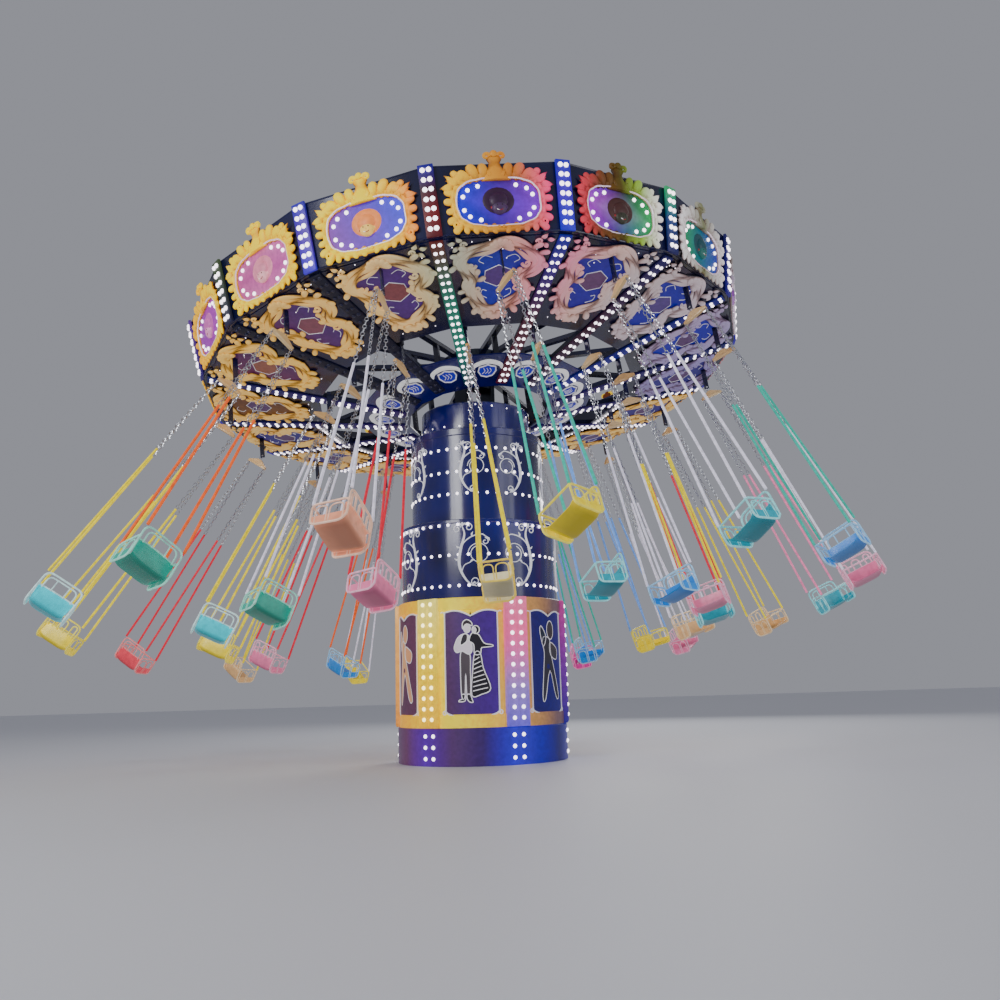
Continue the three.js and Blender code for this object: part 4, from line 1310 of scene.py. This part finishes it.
def ball(bm, where, size, colour, segments):
    made = bmesh.ops.create_uvsphere(bm, u_segments=segments, v_segments=segments * 2 // 3,
                                     radius=1)["verts"]
    bmesh.ops.scale(bm, vec=size, verts=made)
    bmesh.ops.translate(bm, vec=where, verts=made)
    tint(bm, made, [colour])


def doll_head(bm, hat, face):
    for colour, x, y, z, size, segments in DOLL:
        colour = {"hat": hat, "face": face}.get(colour, colour)
        for side in ((1, -1) if x else (1,)):
            ball(bm, (x * side, y, z), size, colour, segments)
    smile = [(0.040 * math.sin(a), SMILE_LEVEL - 0.034 * math.cos(a)) for a in SMILE]
    tint(bm, draw(bm, smile, 0.066, 0.0042), ["8a1c20"])


def lit_fields():
    for k in range(SECTORS):
        bm = painted()
        bmesh.ops.create_circle(bm, segments=FIELD_STEPS, radius=1, cap_ends=True)
        bm.verts.ensure_lookup_table()
        for i, vert in enumerate(bm.verts):
            vert.co = (*oval(2 * math.pi * i / FIELD_STEPS, 0.004), 0.012)
        for _ in range(2):
            middle = [face for face in bm.faces if len(face.verts) > 4]
            bmesh.ops.inset_region(bm, faces=middle, thickness=0.09)
        bmesh.ops.recalc_face_normals(bm, faces=bm.faces)
        tint(bm, bm.verts, FIELD_GLOWS.get(k, FIELD_DEFAULT),
             lambda co: (co.x + FIELD_X) / (2 * FIELD_X))
        doll_head(bm, *HEAD_TINTS.get(k, HEAD_DEFAULT))
        new_piece(f"crown_field_{k + 1}", bm, "canopy", [ACRYLIC],
                  CANOPY @ board_place(k))
    ring = [oval(math.radians(half_turn + angle), -0.058)
            for half_turn in (0, 180) for angle in FIELD_BULB_ANGLES]
    spots_on = [board_place(k) @ Matrix.Translation((x, y, 0.016))
                for k in range(SECTORS) for x, y in ring]
    bulbs("crown_field_bulbs", spots_on, "canopy", placed=CANOPY, size=1.15)


lit_fields()

# %% [markdown]
# ## The underside
# Sixteen navy wedges slope gently down to a wide opening round the column. A strip of bulb pairs
# runs in along every arm, and each wedge has a carved cream frame round a painted field.
# %% Places on the underside
CONE_RADIUS, CONE_DROP = 0.98, 0.52
SLOPE = CONE_DROP / (RIM - CONE_RADIUS)


def wedge_place(k):
    azimuth = arm_azimuth(k + 0.5)
    return place(at(azimuth, RIM * HALF, 0), sideways(azimuth),
                 outward(azimuth) + UP * SLOPE / HALF)


def arm_place(k):
    azimuth = arm_azimuth(k)
    return place(at(azimuth, RIM, 0), sideways(azimuth), outward(azimuth) + UP * SLOPE)


# %% Bulb strips on the arms
STRIP_WIDTH, STRIP_DEPTH = 0.15, 0.022
STRIP_STEP = 0.12
STRIP_OUTER, STRIP_INNER = 3.64, 1.0
STRIP_TINTS = {
    14: ["0a0c28"], 0: ["6a0810", "067860", "068870", "06304a"], 1: ["1a1aa0", "4a0a2a", "5a0a20"],
    2: ["10105a", "3a0a2a", "2a0a3a"], 3: ["10107a", "1a1a8a"], 15: ["0a0c28"],
}
STRIP_DEFAULT = ["141a6a", "301060"]
DARK_ARMS = (14, 15)      # the lamps of these two arms are off in the photograph


def arm_strips():
    long = STRIP_OUTER - STRIP_INNER
    for k in range(SECTORS):
        bm = painted()
        middle = (STRIP_OUTER + STRIP_INNER) / 2 - RIM
        where = arm_place(k) @ Matrix.Translation((0, middle, STRIP_DEPTH / 2 - 0.002))
        block(bm, (STRIP_WIDTH, long, STRIP_DEPTH), where, 0.004)
        lengthwise = [edge for edge in bm.edges if edge.calc_length() > 1]
        bmesh.ops.subdivide_edges(bm, edges=lengthwise, cuts=12, use_grid_fill=True)
        back = arm_place(k).inverted()
        tint(bm, bm.verts, STRIP_TINTS.get(k, STRIP_DEFAULT),
             lambda co: -(back @ co).y / (RIM - STRIP_INNER))
        new_piece(f"arm_strip_{k + 1}", bm, "canopy", [PRINT], CANOPY)
    pairs = int((long - 0.08) / STRIP_STEP) + 1
    rows = [STRIP_OUTER - RIM - 0.05 - i * STRIP_STEP for i in range(pairs)]
    for name, finish, arms in (
            ("arm_strip_bulbs", BULB_WHITE, [k for k in range(SECTORS) if k not in DARK_ARMS]),
            ("arm_strip_bulbs_off", BULB_OFF, DARK_ARMS)):
        spots_on = [arm_place(k) @ Matrix.Translation((side * PAIR_HALF, y, STRIP_DEPTH))
                    for k in arms for y in rows for side in (-1, 1)]
        bulbs(name, spots_on, "canopy", finish, CANOPY, 1.1)
    print("pairs on one arm:", pairs)


arm_strips()

# %% [markdown]
# The carved frame of a wedge follows one closed line, broad at the rim and narrow inwards. It is
# made of three strands side by side, which part and meet again like a braid, so there are creases
# and dark gaps along it. Bouquets of leaves sit where its curves meet, and small curls stand free
# in the outer corners.
# %% Carved frames of the wedges
WEDGE_LINE = [(0.0, -0.11), (0.17, -0.16), (0.34, -0.26), (0.43, -0.40), (0.37, -0.54),
              (0.28, -0.66), (0.31, -0.80), (0.26, -0.97), (0.13, -1.12), (0.0, -1.17)]
STRANDS = [(0.064, 0.026, 0.0), (0.022, 0.030, 0.9), (-0.022, 0.030, 2.2), (-0.064, 0.024, 3.4)]
WAVES = 6


def mirrored(half):
    """A closed outline from its right half, which starts and ends on the middle line."""
    return half + [(-x, y) for x, y in reversed(half[1:-1])]


def strand(loop, offset, phase):
    path = []
    for i, point in enumerate(loop):
        along = loop[(i + 1) % len(loop)] - loop[i - 1]
        side = Vector((-along.y, along.x, 0)).normalized()
        wave = math.sin(2 * math.pi * WAVES * i / len(loop) + phase)
        path.append(point + side * offset * (1 + 0.35 * wave) + UP * (0.012 * wave))
    return path


def wedge_frame_template():
    bm = painted()
    loop = [Vector((x, y, 0)) for x, y in smooth(mirrored(WEDGE_LINE), 5, closed=True)]
    for offset, radius, phase in STRANDS:
        swell = [1 + 0.3 * math.sin(2 * math.pi * WAVES * i / len(loop) + phase)
                 for i in range(len(loop))]
        bm.from_mesh(wire(strand(loop, offset, phase), radius, closed=True, thickness=swell))
    bmesh.ops.scale(bm, vec=(1, 1, 0.62), verts=bm.verts)
    bmesh.ops.translate(bm, vec=(0, 0, 0.014), verts=bm.verts)
    depths(bm, 0.012, 0.036)
    for mesh, y, turn, pitch, count, z, size in FANS:
        for i in range(count):
            spread = math.radians(turn + (i - count // 2) * pitch)
            stamp(bm, mesh, flat_turn(0, y, spread, z, size))
    carve(bm, WEDGE_CARVINGS, WEDGE_SCROLLS)
    return template(bm)


# The fans of lobes and leaves on the middle line: mesh, place, turn, pitch, count, level and size
FANS = [(LOBE, -0.16, 0, 27, 7, 0.026, 0.95), (LEAF, -1.19, 180, 36, 5, 0.03, 1.15)]
WEDGE_CARVINGS = [(LOBE, x, y, turn, 0.02, size) for x, y, turn, size in (
    (0.36, -0.22, 30, 0.9), (0.43, -0.30, 55, 0.85), (0.45, -0.42, 110, 0.85),
    (0.26, -0.60, -30, 0.8), (0.24, -0.68, -70, 0.8), (0.33, -0.84, 75, 0.75),
    (0.29, -0.95, 100, 0.8), (0.17, -1.10, 125, 0.95), (0.09, -1.16, 150, 0.95))]
WEDGE_CARVINGS += [(LEAF, x, y, turn, 0.015, 0.75) for x, y, turn in (
    (0.44, -0.075, 30), (0.50, -0.09, 80), (0.47, -0.14, 130))]
WEDGE_SCROLLS = [
    (0.31, -0.43, 0.05, 1, 1, 0.02, 0.03, 1.0), (0.225, -0.80, 0.05, -1, -1, 0.016, 0.03, 1.0),
    (0.42, -0.11, 0.038, 1, -1, 0.014, 0.022, 1.1),
]
wedge_frame = wedge_frame_template()
WEDGE_WASH = {
    12: [("e0a040", 0.4), ("e8b050", 0.5)], 13: [("f0b840", 0.5), ("f0b440", 0.5)],
    14: [("f0b040", 0.55), ("e8b468", 0.5)],
    15: [("e8b878", 0.4), ("e0b48c", 0.5), ("a8b8a0", 0.8)],
    0: [("a0b0a4", 0.85), ("b0a0a0", 0.75), ("d88a98", 0.8), ("e878b0", 0.85)],
    1: [("e070a8", 0.85), ("c8a0b0", 0.75), ("a8a8c0", 0.8)],
    2: [("a8a0b8", 0.8), ("b0a8c8", 0.8)], 3: [("8a80b8", 0.85), ("7a78c0", 0.85)],
    4: [("7070c0", 0.85), ("5a58a8", 0.85)],
}
WEDGE_DEFAULT = [("c09050", 0.3), ("b08858", 0.3)]


washed_frames("underside_frames", wedge_frame, wedge_place, WEDGE_WASH, WEDGE_DEFAULT,
              [CREAM_GILT])

# %% [markdown]
# Inside each frame is a printed field with a six-sided panel in its middle. Round the opening a
# row of bulbs and a white scalloped line close the wedges, and a small shield sits between the
# arms further in. Tiny lights like stars are sprinkled over the navy ground.
# %% Fields, shields and stars
WEDGE_TINTS = {
    12: ["8a5a28", "5a3020"], 13: ["7a3a5a", "50286a"], 14: ["6a3468", "4a2a80"],
    15: ["503078", "5c2c88"], 0: ["1c34a8", "1c28b0", "3420a8"], 1: ["301ca0", "2414a0"],
    2: ["2018a0", "1a12a8"], 3: ["1c14b4", "1810a8"],
}
WEDGE_TINT = ["3a2a86", "2a2088"]
HEXAGONS = {15: "8a4a50", 14: "8a5060", 13: "9a6050", 0: "5a3a80", 1: "6a4470", 2: "5a4488"}
HEXAGON_RADIUS, HEXAGON_MID = 0.17, -0.62
HEXAGON_DEFAULT = "604070"
TRIM_LEVEL = -1.41
SHIELD_LEVEL = -2.36
SHIELD = [(x, y + SHIELD_LEVEL) for x, y in (
    (0.0, -0.12), (0.075, -0.09), (0.115, 0.0), (0.105, 0.085), (0.05, 0.10), (0.0, 0.13))]
SHIELD_STROKE = [(-0.02, -0.05), (0.012, 0.0), (-0.008, 0.06)]
RIBBON = smooth([(x, y + SHIELD_LEVEL) for x, y in (
    (-0.20, 0.03), (-0.15, 0.13), (0.0, 0.19), (0.15, 0.13), (0.20, 0.03))])
FIELD_CURLS = [[(0.10, -0.98), (0.17, -0.92), (0.16, -0.84), (0.11, -0.86)],
               [(0.08, -0.33), (0.17, -0.30), (0.23, -0.37), (0.17, -0.42)]]
PEN = 0.0045
FAR_SIDE = range(5, 12)
STARS = 26


def hexagon_points(level):
    turns = [math.pi / 3 * i for i in range(6)]
    return [(HEXAGON_RADIUS * math.sin(turn), HEXAGON_MID + HEXAGON_RADIUS * math.cos(turn), level)
            for turn in turns]


def wedge_fields():
    outline = [Vector((x, y, 0)) * 0.97 + Vector((0, -0.02, 0.005))
               for x, y in smooth(mirrored(WEDGE_LINE), 3, closed=True)]
    for k in range(SECTORS):
        bm = painted()
        bm.faces.new([bm.verts.new(point) for point in outline])
        tint(bm, bm.verts, WEDGE_TINTS.get(k, WEDGE_TINT), lambda co: (co.x + 0.45) / 0.9)
        hexagon = [bm.verts.new(point) for point in hexagon_points(0.009)]
        bm.faces.new(hexagon)
        tint(bm, hexagon, [HEXAGONS.get(k, HEXAGON_DEFAULT)])
        bm.normal_update()
        for face in bm.faces:
            if face.normal.z < 0:
                face.normal_flip()
        new_piece(f"underside_field_{k + 1}", bm, "canopy", [PRINT],
                  CANOPY @ wedge_place(k))


def trim_template(far):
    """The white lines of one wedge. The scallops are on the far side alone."""
    bm = bmesh.new()
    bm.from_mesh(wire(hexagon_points(0.010), 0.005, closed=True, sides=FINE))
    if far:
        scallop = [(x * 0.017, TRIM_LEVEL - 0.03 * abs(math.sin(math.pi * x / 5)))
                   for x in range(-20, 21)]
        draw(bm, scallop, 0.010, 0.011)
    for hand in (1, -1):
        for curl in FIELD_CURLS:
            draw(bm, smooth([(hand * x, y) for x, y in curl]), 0.009, PEN)
    draw(bm, mirrored(SHIELD), 0.012, 0.010, closed=True)
    for x in (-0.04, 0.0, 0.04):
        stroke = [(x + aside, SHIELD_LEVEL + up) for aside, up in SHIELD_STROKE]
        draw(bm, smooth(stroke), 0.014, PEN)
    return template(bm)


def star_places(k):
    """Lights on the navy ground, outwards and inwards of the carved frame, in no order."""
    for i in range(STARS):
        x = 0.60 * math.sin(2.4 * i + k)
        outer = -0.06 - 0.30 * ((i * GOLDEN + 0.37 * k) % 1)
        inner = -1.27 - 0.09 * ((i * GOLDEN) % 1)
        y = outer if i % 2 else inner
        if abs(x) < 0.62 + 0.29 * y:
            yield wedge_place(k) @ Matrix.Translation((x, y, 0.004))


def underside_trim():
    lines, shields, ribbons = bmesh.new(), painted(), painted()
    trims = {far: trim_template(far) for far in (False, True)}
    swell = [0.55 + 0.6 * math.sin(math.pi * i / (len(RIBBON) - 1)) for i in range(len(RIBBON))]
    ribbon = wire([(x, y, 0.012) for x, y in RIBBON], 0.034, thickness=swell)
    for k in range(SECTORS):
        where = wedge_place(k)
        stamp(lines, trims[k in FAR_SIDE], where)
        stamp(ribbons, ribbon, where @ Matrix.Diagonal((1, 1, 0.6, 1)))
        plate(shields, mirrored(SHIELD), 0.008, where @ Matrix.Translation((0, 0, 0.004)))
    tint(shields, shields.verts, ["1018a0"])
    one_depth(ribbons, ribbons.verts, 0.6)
    for name, bm, finish, slot in (("trim_lines", lines, WHITE_LINE, "picture_panel"),
                                   ("shields", shields, ACRYLIC, "picture_panel"),
                                   ("ribbons", ribbons, CREAM_GILT, "gold_paint")):
        new_piece(f"underside_{name}", bm, "canopy", [finish], CANOPY)
    ring = [wedge_place(k) @ Matrix.Translation((x * 0.068, TRIM_LEVEL + 0.05, 0.006))
            for k in FAR_SIDE for x in range(-5, 6)]
    stars = [where for k in range(SECTORS) for where in star_places(k)]
    bulbs("underside_ring_bulbs", ring, "canopy", placed=CANOPY, size=0.9)
    bulbs("underside_star_lights", stars, "canopy", placed=CANOPY, size=0.28)


wedge_fields()
underside_trim()

# %% [markdown]
# ## The chairs
# Each chair is a bucket of glass fibre in a frame of bent tube, hung on four chains from the ends
# of a coat-hanger plate. The lower part of every chain runs in a thick coloured vinyl sleeve, so
# that nothing pinches the rider's hands. Two seats are modelled, one with a plain hoop and one
# with an arched back, and copied to the thirty-two places that the swing joints give.
# %% The seat
SEAT = {"half": 0.214, "deep": 0.16, "back": 0.20, "frame": 0.355, "guard": 0.235, "heel": 0.07,
        "tube": 0.0105}
SHELL_CUTS = 8
PANEL_HEIGHT = 0.095


def seat_shell(bm):
    """The back and the seat in one curved strip, narrower and raised at its lower corners."""
    deep, half = SEAT["deep"] - 0.008, SEAT["half"] - 0.010
    side = [(-deep, 0.030), (0.05, 0.004), (deep, 0.0), (deep + 0.006, SEAT["back"])]
    path = rounded([(-half, y, z) for y, z in side], SEAT["heel"], 5)
    verts = [bm.verts.new(point) for point in path]
    edges = [bm.edges.new(pair) for pair in zip(verts, verts[1:])]
    for _ in range(SHELL_CUTS):
        grown = bmesh.ops.extrude_edge_only(bm, edges=edges)["geom"]
        across = [item for item in grown if isinstance(item, bmesh.types.BMVert)]
        bmesh.ops.translate(bm, verts=across, vec=(2 * half / SHELL_CUTS, 0, 0))
        edges = [item for item in grown if isinstance(item, bmesh.types.BMEdge)]
    bmesh.ops.recalc_face_normals(bm, faces=bm.faces)
    if sum(face.normal.z * face.calc_area() for face in bm.faces) > 0:
        bmesh.ops.reverse_faces(bm, faces=bm.faces)
    for vert in bm.verts:
        share = vert.co.x / half
        high = min(vert.co.z / SEAT["back"], 1)
        vert.co.x *= 1 - 0.08 * (1 - high)
        vert.co.z += 0.03 * abs(share) ** 6 * (1 - high)
        vert.co.y -= 0.02 * abs(share) ** 6 * high
    bmesh.ops.solidify(bm, geom=bm.faces[:], thickness=0.012)
    bmesh.ops.recalc_face_normals(bm, faces=bm.faces)
    depths(bm, 0.012, 0.072)


def bent_tube(bm, points, corner, radius, steps=5, closed=False):
    """A tube of the frame, with round corners. The thin ones have fewer sides."""
    sides = FINE if radius < SEAT["tube"] else 8
    path = rounded(points, corner, steps, closed)
    bm.from_mesh(wire(path, radius, closed, sides, material=1))


def arch(start, end, low, high, lean=0.0):
    """Up, across and down, from one foot to the other, with its top set back by the lean."""
    (x, y), (x_end, y_end) = start, end
    return [(x, y, low), (x, y + lean, high), (x_end, y_end + lean, high), (x_end, y_end, low)]


def seat_side(bm, x):
    """One side: the closed loop of tube, two arches in it, and the low panel."""
    deep, tube, guard = SEAT["deep"], SEAT["tube"], SEAT["guard"]
    loop = [(x, -deep, 0.012), (x, -deep - 0.006, guard), (x, deep + 0.008, guard),
            (x, deep, 0.05), (x, deep - 0.05, 0.0)]
    bent_tube(bm, loop, 0.05, tube, 4, closed=True)
    for y_from, y_to in ((-deep + 0.035, -0.025), (0.0, deep - 0.035)):
        bent_tube(bm, arch((x, y_from), (x, y_to), 0.02, guard - 0.035), 0.06, 0.007)
    low = [(-deep + 0.01, 0.022), (-deep + 0.004, PANEL_HEIGHT), (deep - 0.01, PANEL_HEIGHT),
           (deep - 0.01, 0.055), (deep - 0.055, 0.008)]
    turn = Matrix(((0, 0, 1, x - 0.003), (1, 0, 0, 0), (0, 1, 0, 0), (0, 0, 0, 1)))
    plate(bm, low, 0.006, turn)


def seat_template(arched):
    half, deep, tube = SEAT["half"], SEAT["deep"], SEAT["tube"]
    guard, top, back = SEAT["guard"], SEAT["frame"], SEAT["back"]
    bm = painted()
    seat_shell(bm)
    first = len(bm.verts)
    for side in (-1, 1):
        seat_side(bm, side * half)
    bent_tube(bm, arch((-half, deep), (half, deep), 0.05, top, 0.009), 0.08, tube, 6)
    trim = [(-half + 0.01, deep - 0.012, back), (0, deep + 0.006, back + 0.004),
            (half - 0.01, deep - 0.012, back)]
    bent_tube(bm, trim, 0.1, 0.008)
    y, lean = deep + 0.006, 0.004
    if arched:
        for middle, wide in ((0.0, 0.045), (-0.145, 0.032), (0.145, 0.032)):
            feet = (middle - wide, y), (middle + wide, y)
            inner = arch(*feet, back - 0.02, top - 0.03, lean)
            bent_tube(bm, inner, 0.05, 0.010)
    else:
        feet = (-half + 0.05, y), (half - 0.05, y)
        inner = arch(*feet, back - 0.02, top - 0.035, lean)
        bent_tube(bm, inner, 0.06, 0.008)
        for x in (-0.07, 0.07):
            bent_tube(bm, [(x, y, back - 0.01), (x, y + lean, top - 0.03)], 0.01, 0.007)
    bar_y, bar_z = -deep - 0.003, guard - 0.014
    bent_tube(bm, [(-half, bar_y, bar_z), (half, bar_y, bar_z)], 0.01, tube)
    bm.verts.ensure_lookup_table()
    one_depth(bm, bm.verts[first:], 1.0)
    return template(bm)


SEAT_KINDS = {False: seat_template(False), True: seat_template(True)}
ARCHED = ("yellow", "cream", "tan", "peach", "pink")
print("faces in one seat:", len(SEAT_KINDS[True].polygons))

# %% [markdown]
# A chain link is a stretched ring of wire. Hundreds repeat, so it has six corners and a square
# section. Every second link is turned by a quarter, as in a real chain.
# %% Chains, sleeves and hangers
LINK_PITCH, LINK_WIRE = 0.062, 0.0048
SLEEVE_SHARE, SLEEVE_RADIUS = 0.6, 0.015
HANG_HALF, BAR_LEVEL = 0.150, -0.150
SEAT_DROP = 0.165
YOKE_HALF, YOKE_CREST, YOKE_NECK, YOKE_THICK = 0.165, -0.068, 0.026, 0.024
BAR_DEPTH, BAR_HEIGHT = 0.05, 0.036
SHACKLE_HALF, SHACKLE_LENGTH = 0.019, 0.095
LINK = [(0.0, 0.5), (0.28, 0.28), (0.28, -0.28), (0.0, -0.5), (-0.28, -0.28), (-0.28, 0.28)]


def link_template():
    path = [(x * LINK_PITCH, 0, z * (LINK_PITCH + 2 * LINK_WIRE)) for x, z in LINK]
    return wire(path, LINK_WIRE, closed=True, sides=4)


link_mesh = link_template()


def chain(bm, top, bottom):
    sleeve_top = bottom.lerp(top, SLEEVE_SHARE)
    bm.from_mesh(wire([bottom, sleeve_top], SLEEVE_RADIUS, sides=FINE, material=1))
    span = top - sleeve_top
    turn = span.to_track_quat("Z", "Y").to_matrix().to_4x4()
    count = int(span.length / LINK_PITCH)
    for i in range(count):
        spin = Matrix.Rotation(math.pi / 2 * (i % 2), 4, "Z")
        stamp(bm, link_mesh,
              Matrix.Translation(sleeve_top + span * ((i + 0.5) / count)) @ turn @ spin)


def chains_template(length):
    bm = bmesh.new()
    low = -(length + SEAT_DROP)
    deep, half = SEAT["deep"], SEAT["half"]
    for side in (-1, 1):
        for y, z in ((deep + 0.009, SEAT["frame"]), (-deep - 0.003, SEAT["guard"])):
            top = Vector((side * HANG_HALF, math.copysign(0.012, y), BAR_LEVEL - BAR_HEIGHT / 2))
            chain(bm, top, Vector((side * half, y, low + z)))
    return template(bm)


def hanger_template():
    """The coat-hanger plate with its lower bar, and nothing of the link, which does not turn."""
    bm = bmesh.new()
    bar = (2 * YOKE_HALF, BAR_DEPTH, BAR_HEIGHT)
    block(bm, bar, Matrix.Translation((0, 0, BAR_LEVEL)), 0.008)
    foot = BAR_LEVEL + BAR_HEIGHT / 2
    outline = [(-YOKE_HALF, foot), (YOKE_HALF, foot), (YOKE_NECK, YOKE_CREST),
               (-YOKE_NECK, YOKE_CREST)]
    upright = Matrix(((1, 0, 0, 0), (0, 0, -1, YOKE_THICK / 2), (0, 1, 0, 0), (0, 0, 0, 1)))
    plate(bm, outline, YOKE_THICK, upright)
    return template(bm)


def shackle_template():
    half, foot = SHACKLE_HALF, -SHACKLE_LENGTH
    link = [(-half, 0, 0.0), (half, 0, 0.0), (half, 0, foot), (-half, 0, foot)]
    return wire(rounded(link, 0.01, 3, True), 0.0075, closed=True, sides=FINE)


# %% [markdown]
# The chairs stand at their flying angle, along the canopy's axis. The first chair of the outer
# ring has turned about its own chains, as in the photograph.
# %% Hang the thirty-two chairs
CHAINS = {"outer": 3.455, "inner": 3.250}
TURNED_CHAIR, TURNED_BY = "outer_chair_1", 32
SEAT_ORDER = {
    "outer": "yellow aqua blue pink aqua tan pink magenta "
             "blue yellow tan coral yellow cyan teal peach",
    "inner": "cream aqua blue pink aqua tan yellow blue coral tan blue pink yellow cyan teal pink",
}
SLEEVE_ORDER = {
    "outer": "teal white teal white pink yellow white blue "
             "red white yellow red yellow yellow orange white",
    "inner": "yellow blue white yellow red white blue teal "
             "white red orange red yellow yellow white red",
}


def chair_place(joint):
    pin = Vector(joint["pos_m"])
    azimuth = azimuth_of(CANOPY.inverted() @ pin)
    flare = math.radians(-joint["range_deg"][0])
    turn = Matrix.Rotation(math.radians(azimuth - 90), 4, "Z") @ Matrix.Rotation(-flare, 4, "Y")
    return Matrix.Translation(pin) @ LEAN @ turn


def copy_piece(name, mesh, where, body, materials):
    bm = painted()
    bm.from_mesh(mesh)
    return new_piece(name, bm, body, materials, where)


def hang_chairs():
    hanger, shackle = hanger_template(), shackle_template()
    for ring, length in CHAINS.items():
        chains = chains_template(length)
        down = Matrix.Translation((0, 0, -(length + SEAT_DROP)))
        colours = zip(SEAT_ORDER[ring].split(), SLEEVE_ORDER[ring].split())
        for i, (seat, sleeve) in enumerate(colours, 1):
            body = f"{ring}_chair_{i}"
            straight = chair_place(joints[f"{body}_swing"])
            turn = math.radians(TURNED_BY if body == TURNED_CHAIR else 0)
            where = straight @ Matrix.Rotation(turn, 4, "Z")
            made = copy_piece(f"{ring}_seat_{i}", SEAT_KINDS[seat in ARCHED], where @ down, body,
                              [SHELLS[seat], TUBES[seat]])
            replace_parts(made, body)
            for part, mesh, there, materials, slot in (
                    ("chains", chains, where, [CHAIN_STEEL, SLEEVES[sleeve]], "chain_steel"),
                    ("hanger", hanger, where, [HANGER_PAINT], "hanger_paint"),
                    ("shackle", shackle, straight, [CHAIN_STEEL], "chain_steel")):
                copy_piece(f"{ring}_{part}_{i}", mesh, there, body, materials)


hang_chairs()

# %% [markdown]
# ## Floor and light
# A plain pale floor and large soft lamps, so that the colours are the paint's own.
# %% Stage
def area_light(name, where, aim, size, power):
    data = bpy.data.lights.new(name, "AREA")
    data.size, data.energy = size, power
    light = bpy.data.objects.new(name, data)
    light.location = where
    light.rotation_euler = (Vector(aim) - Vector(where)).to_track_quat("-Z", "Y").to_euler()
    bpy.context.scene.collection.objects.link(light)


def make_stage():
    bm = bmesh.new()
    bmesh.ops.create_grid(bm, x_segments=1, y_segments=1, size=60)
    mesh = bpy.data.meshes.new("floor")
    bm.to_mesh(mesh)
    bm.free()
    mesh.materials.append(start("pale_concrete_floor", Roughness=0.55,
                                Base_Color=paint("dcdde2"))[0])
    floor = bpy.data.objects.new("floor", mesh)
    bpy.context.scene.collection.objects.link(floor)
    floor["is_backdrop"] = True
    world = bpy.data.worlds.new("studio")
    world.use_nodes = True
    world.node_tree.nodes["Background"].inputs["Color"].default_value = paint("c9cbd6")
    world.node_tree.nodes["Background"].inputs["Strength"].default_value = 0.5
    bpy.context.scene.world = world
    area_light("key", (-10, -14, 8), (0, 0, 4), 6, 1150)
    area_light("fill", (12, -10, 5), (0, 0, 3.5), 8, 420)
    area_light("back", (5, 12, 9), (0, 0, 5), 7, 700)


make_stage()

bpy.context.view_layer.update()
triangles = sum(len(piece.data.polygons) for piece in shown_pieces() if piece.type == "MESH")
print("faces in all:", triangles)
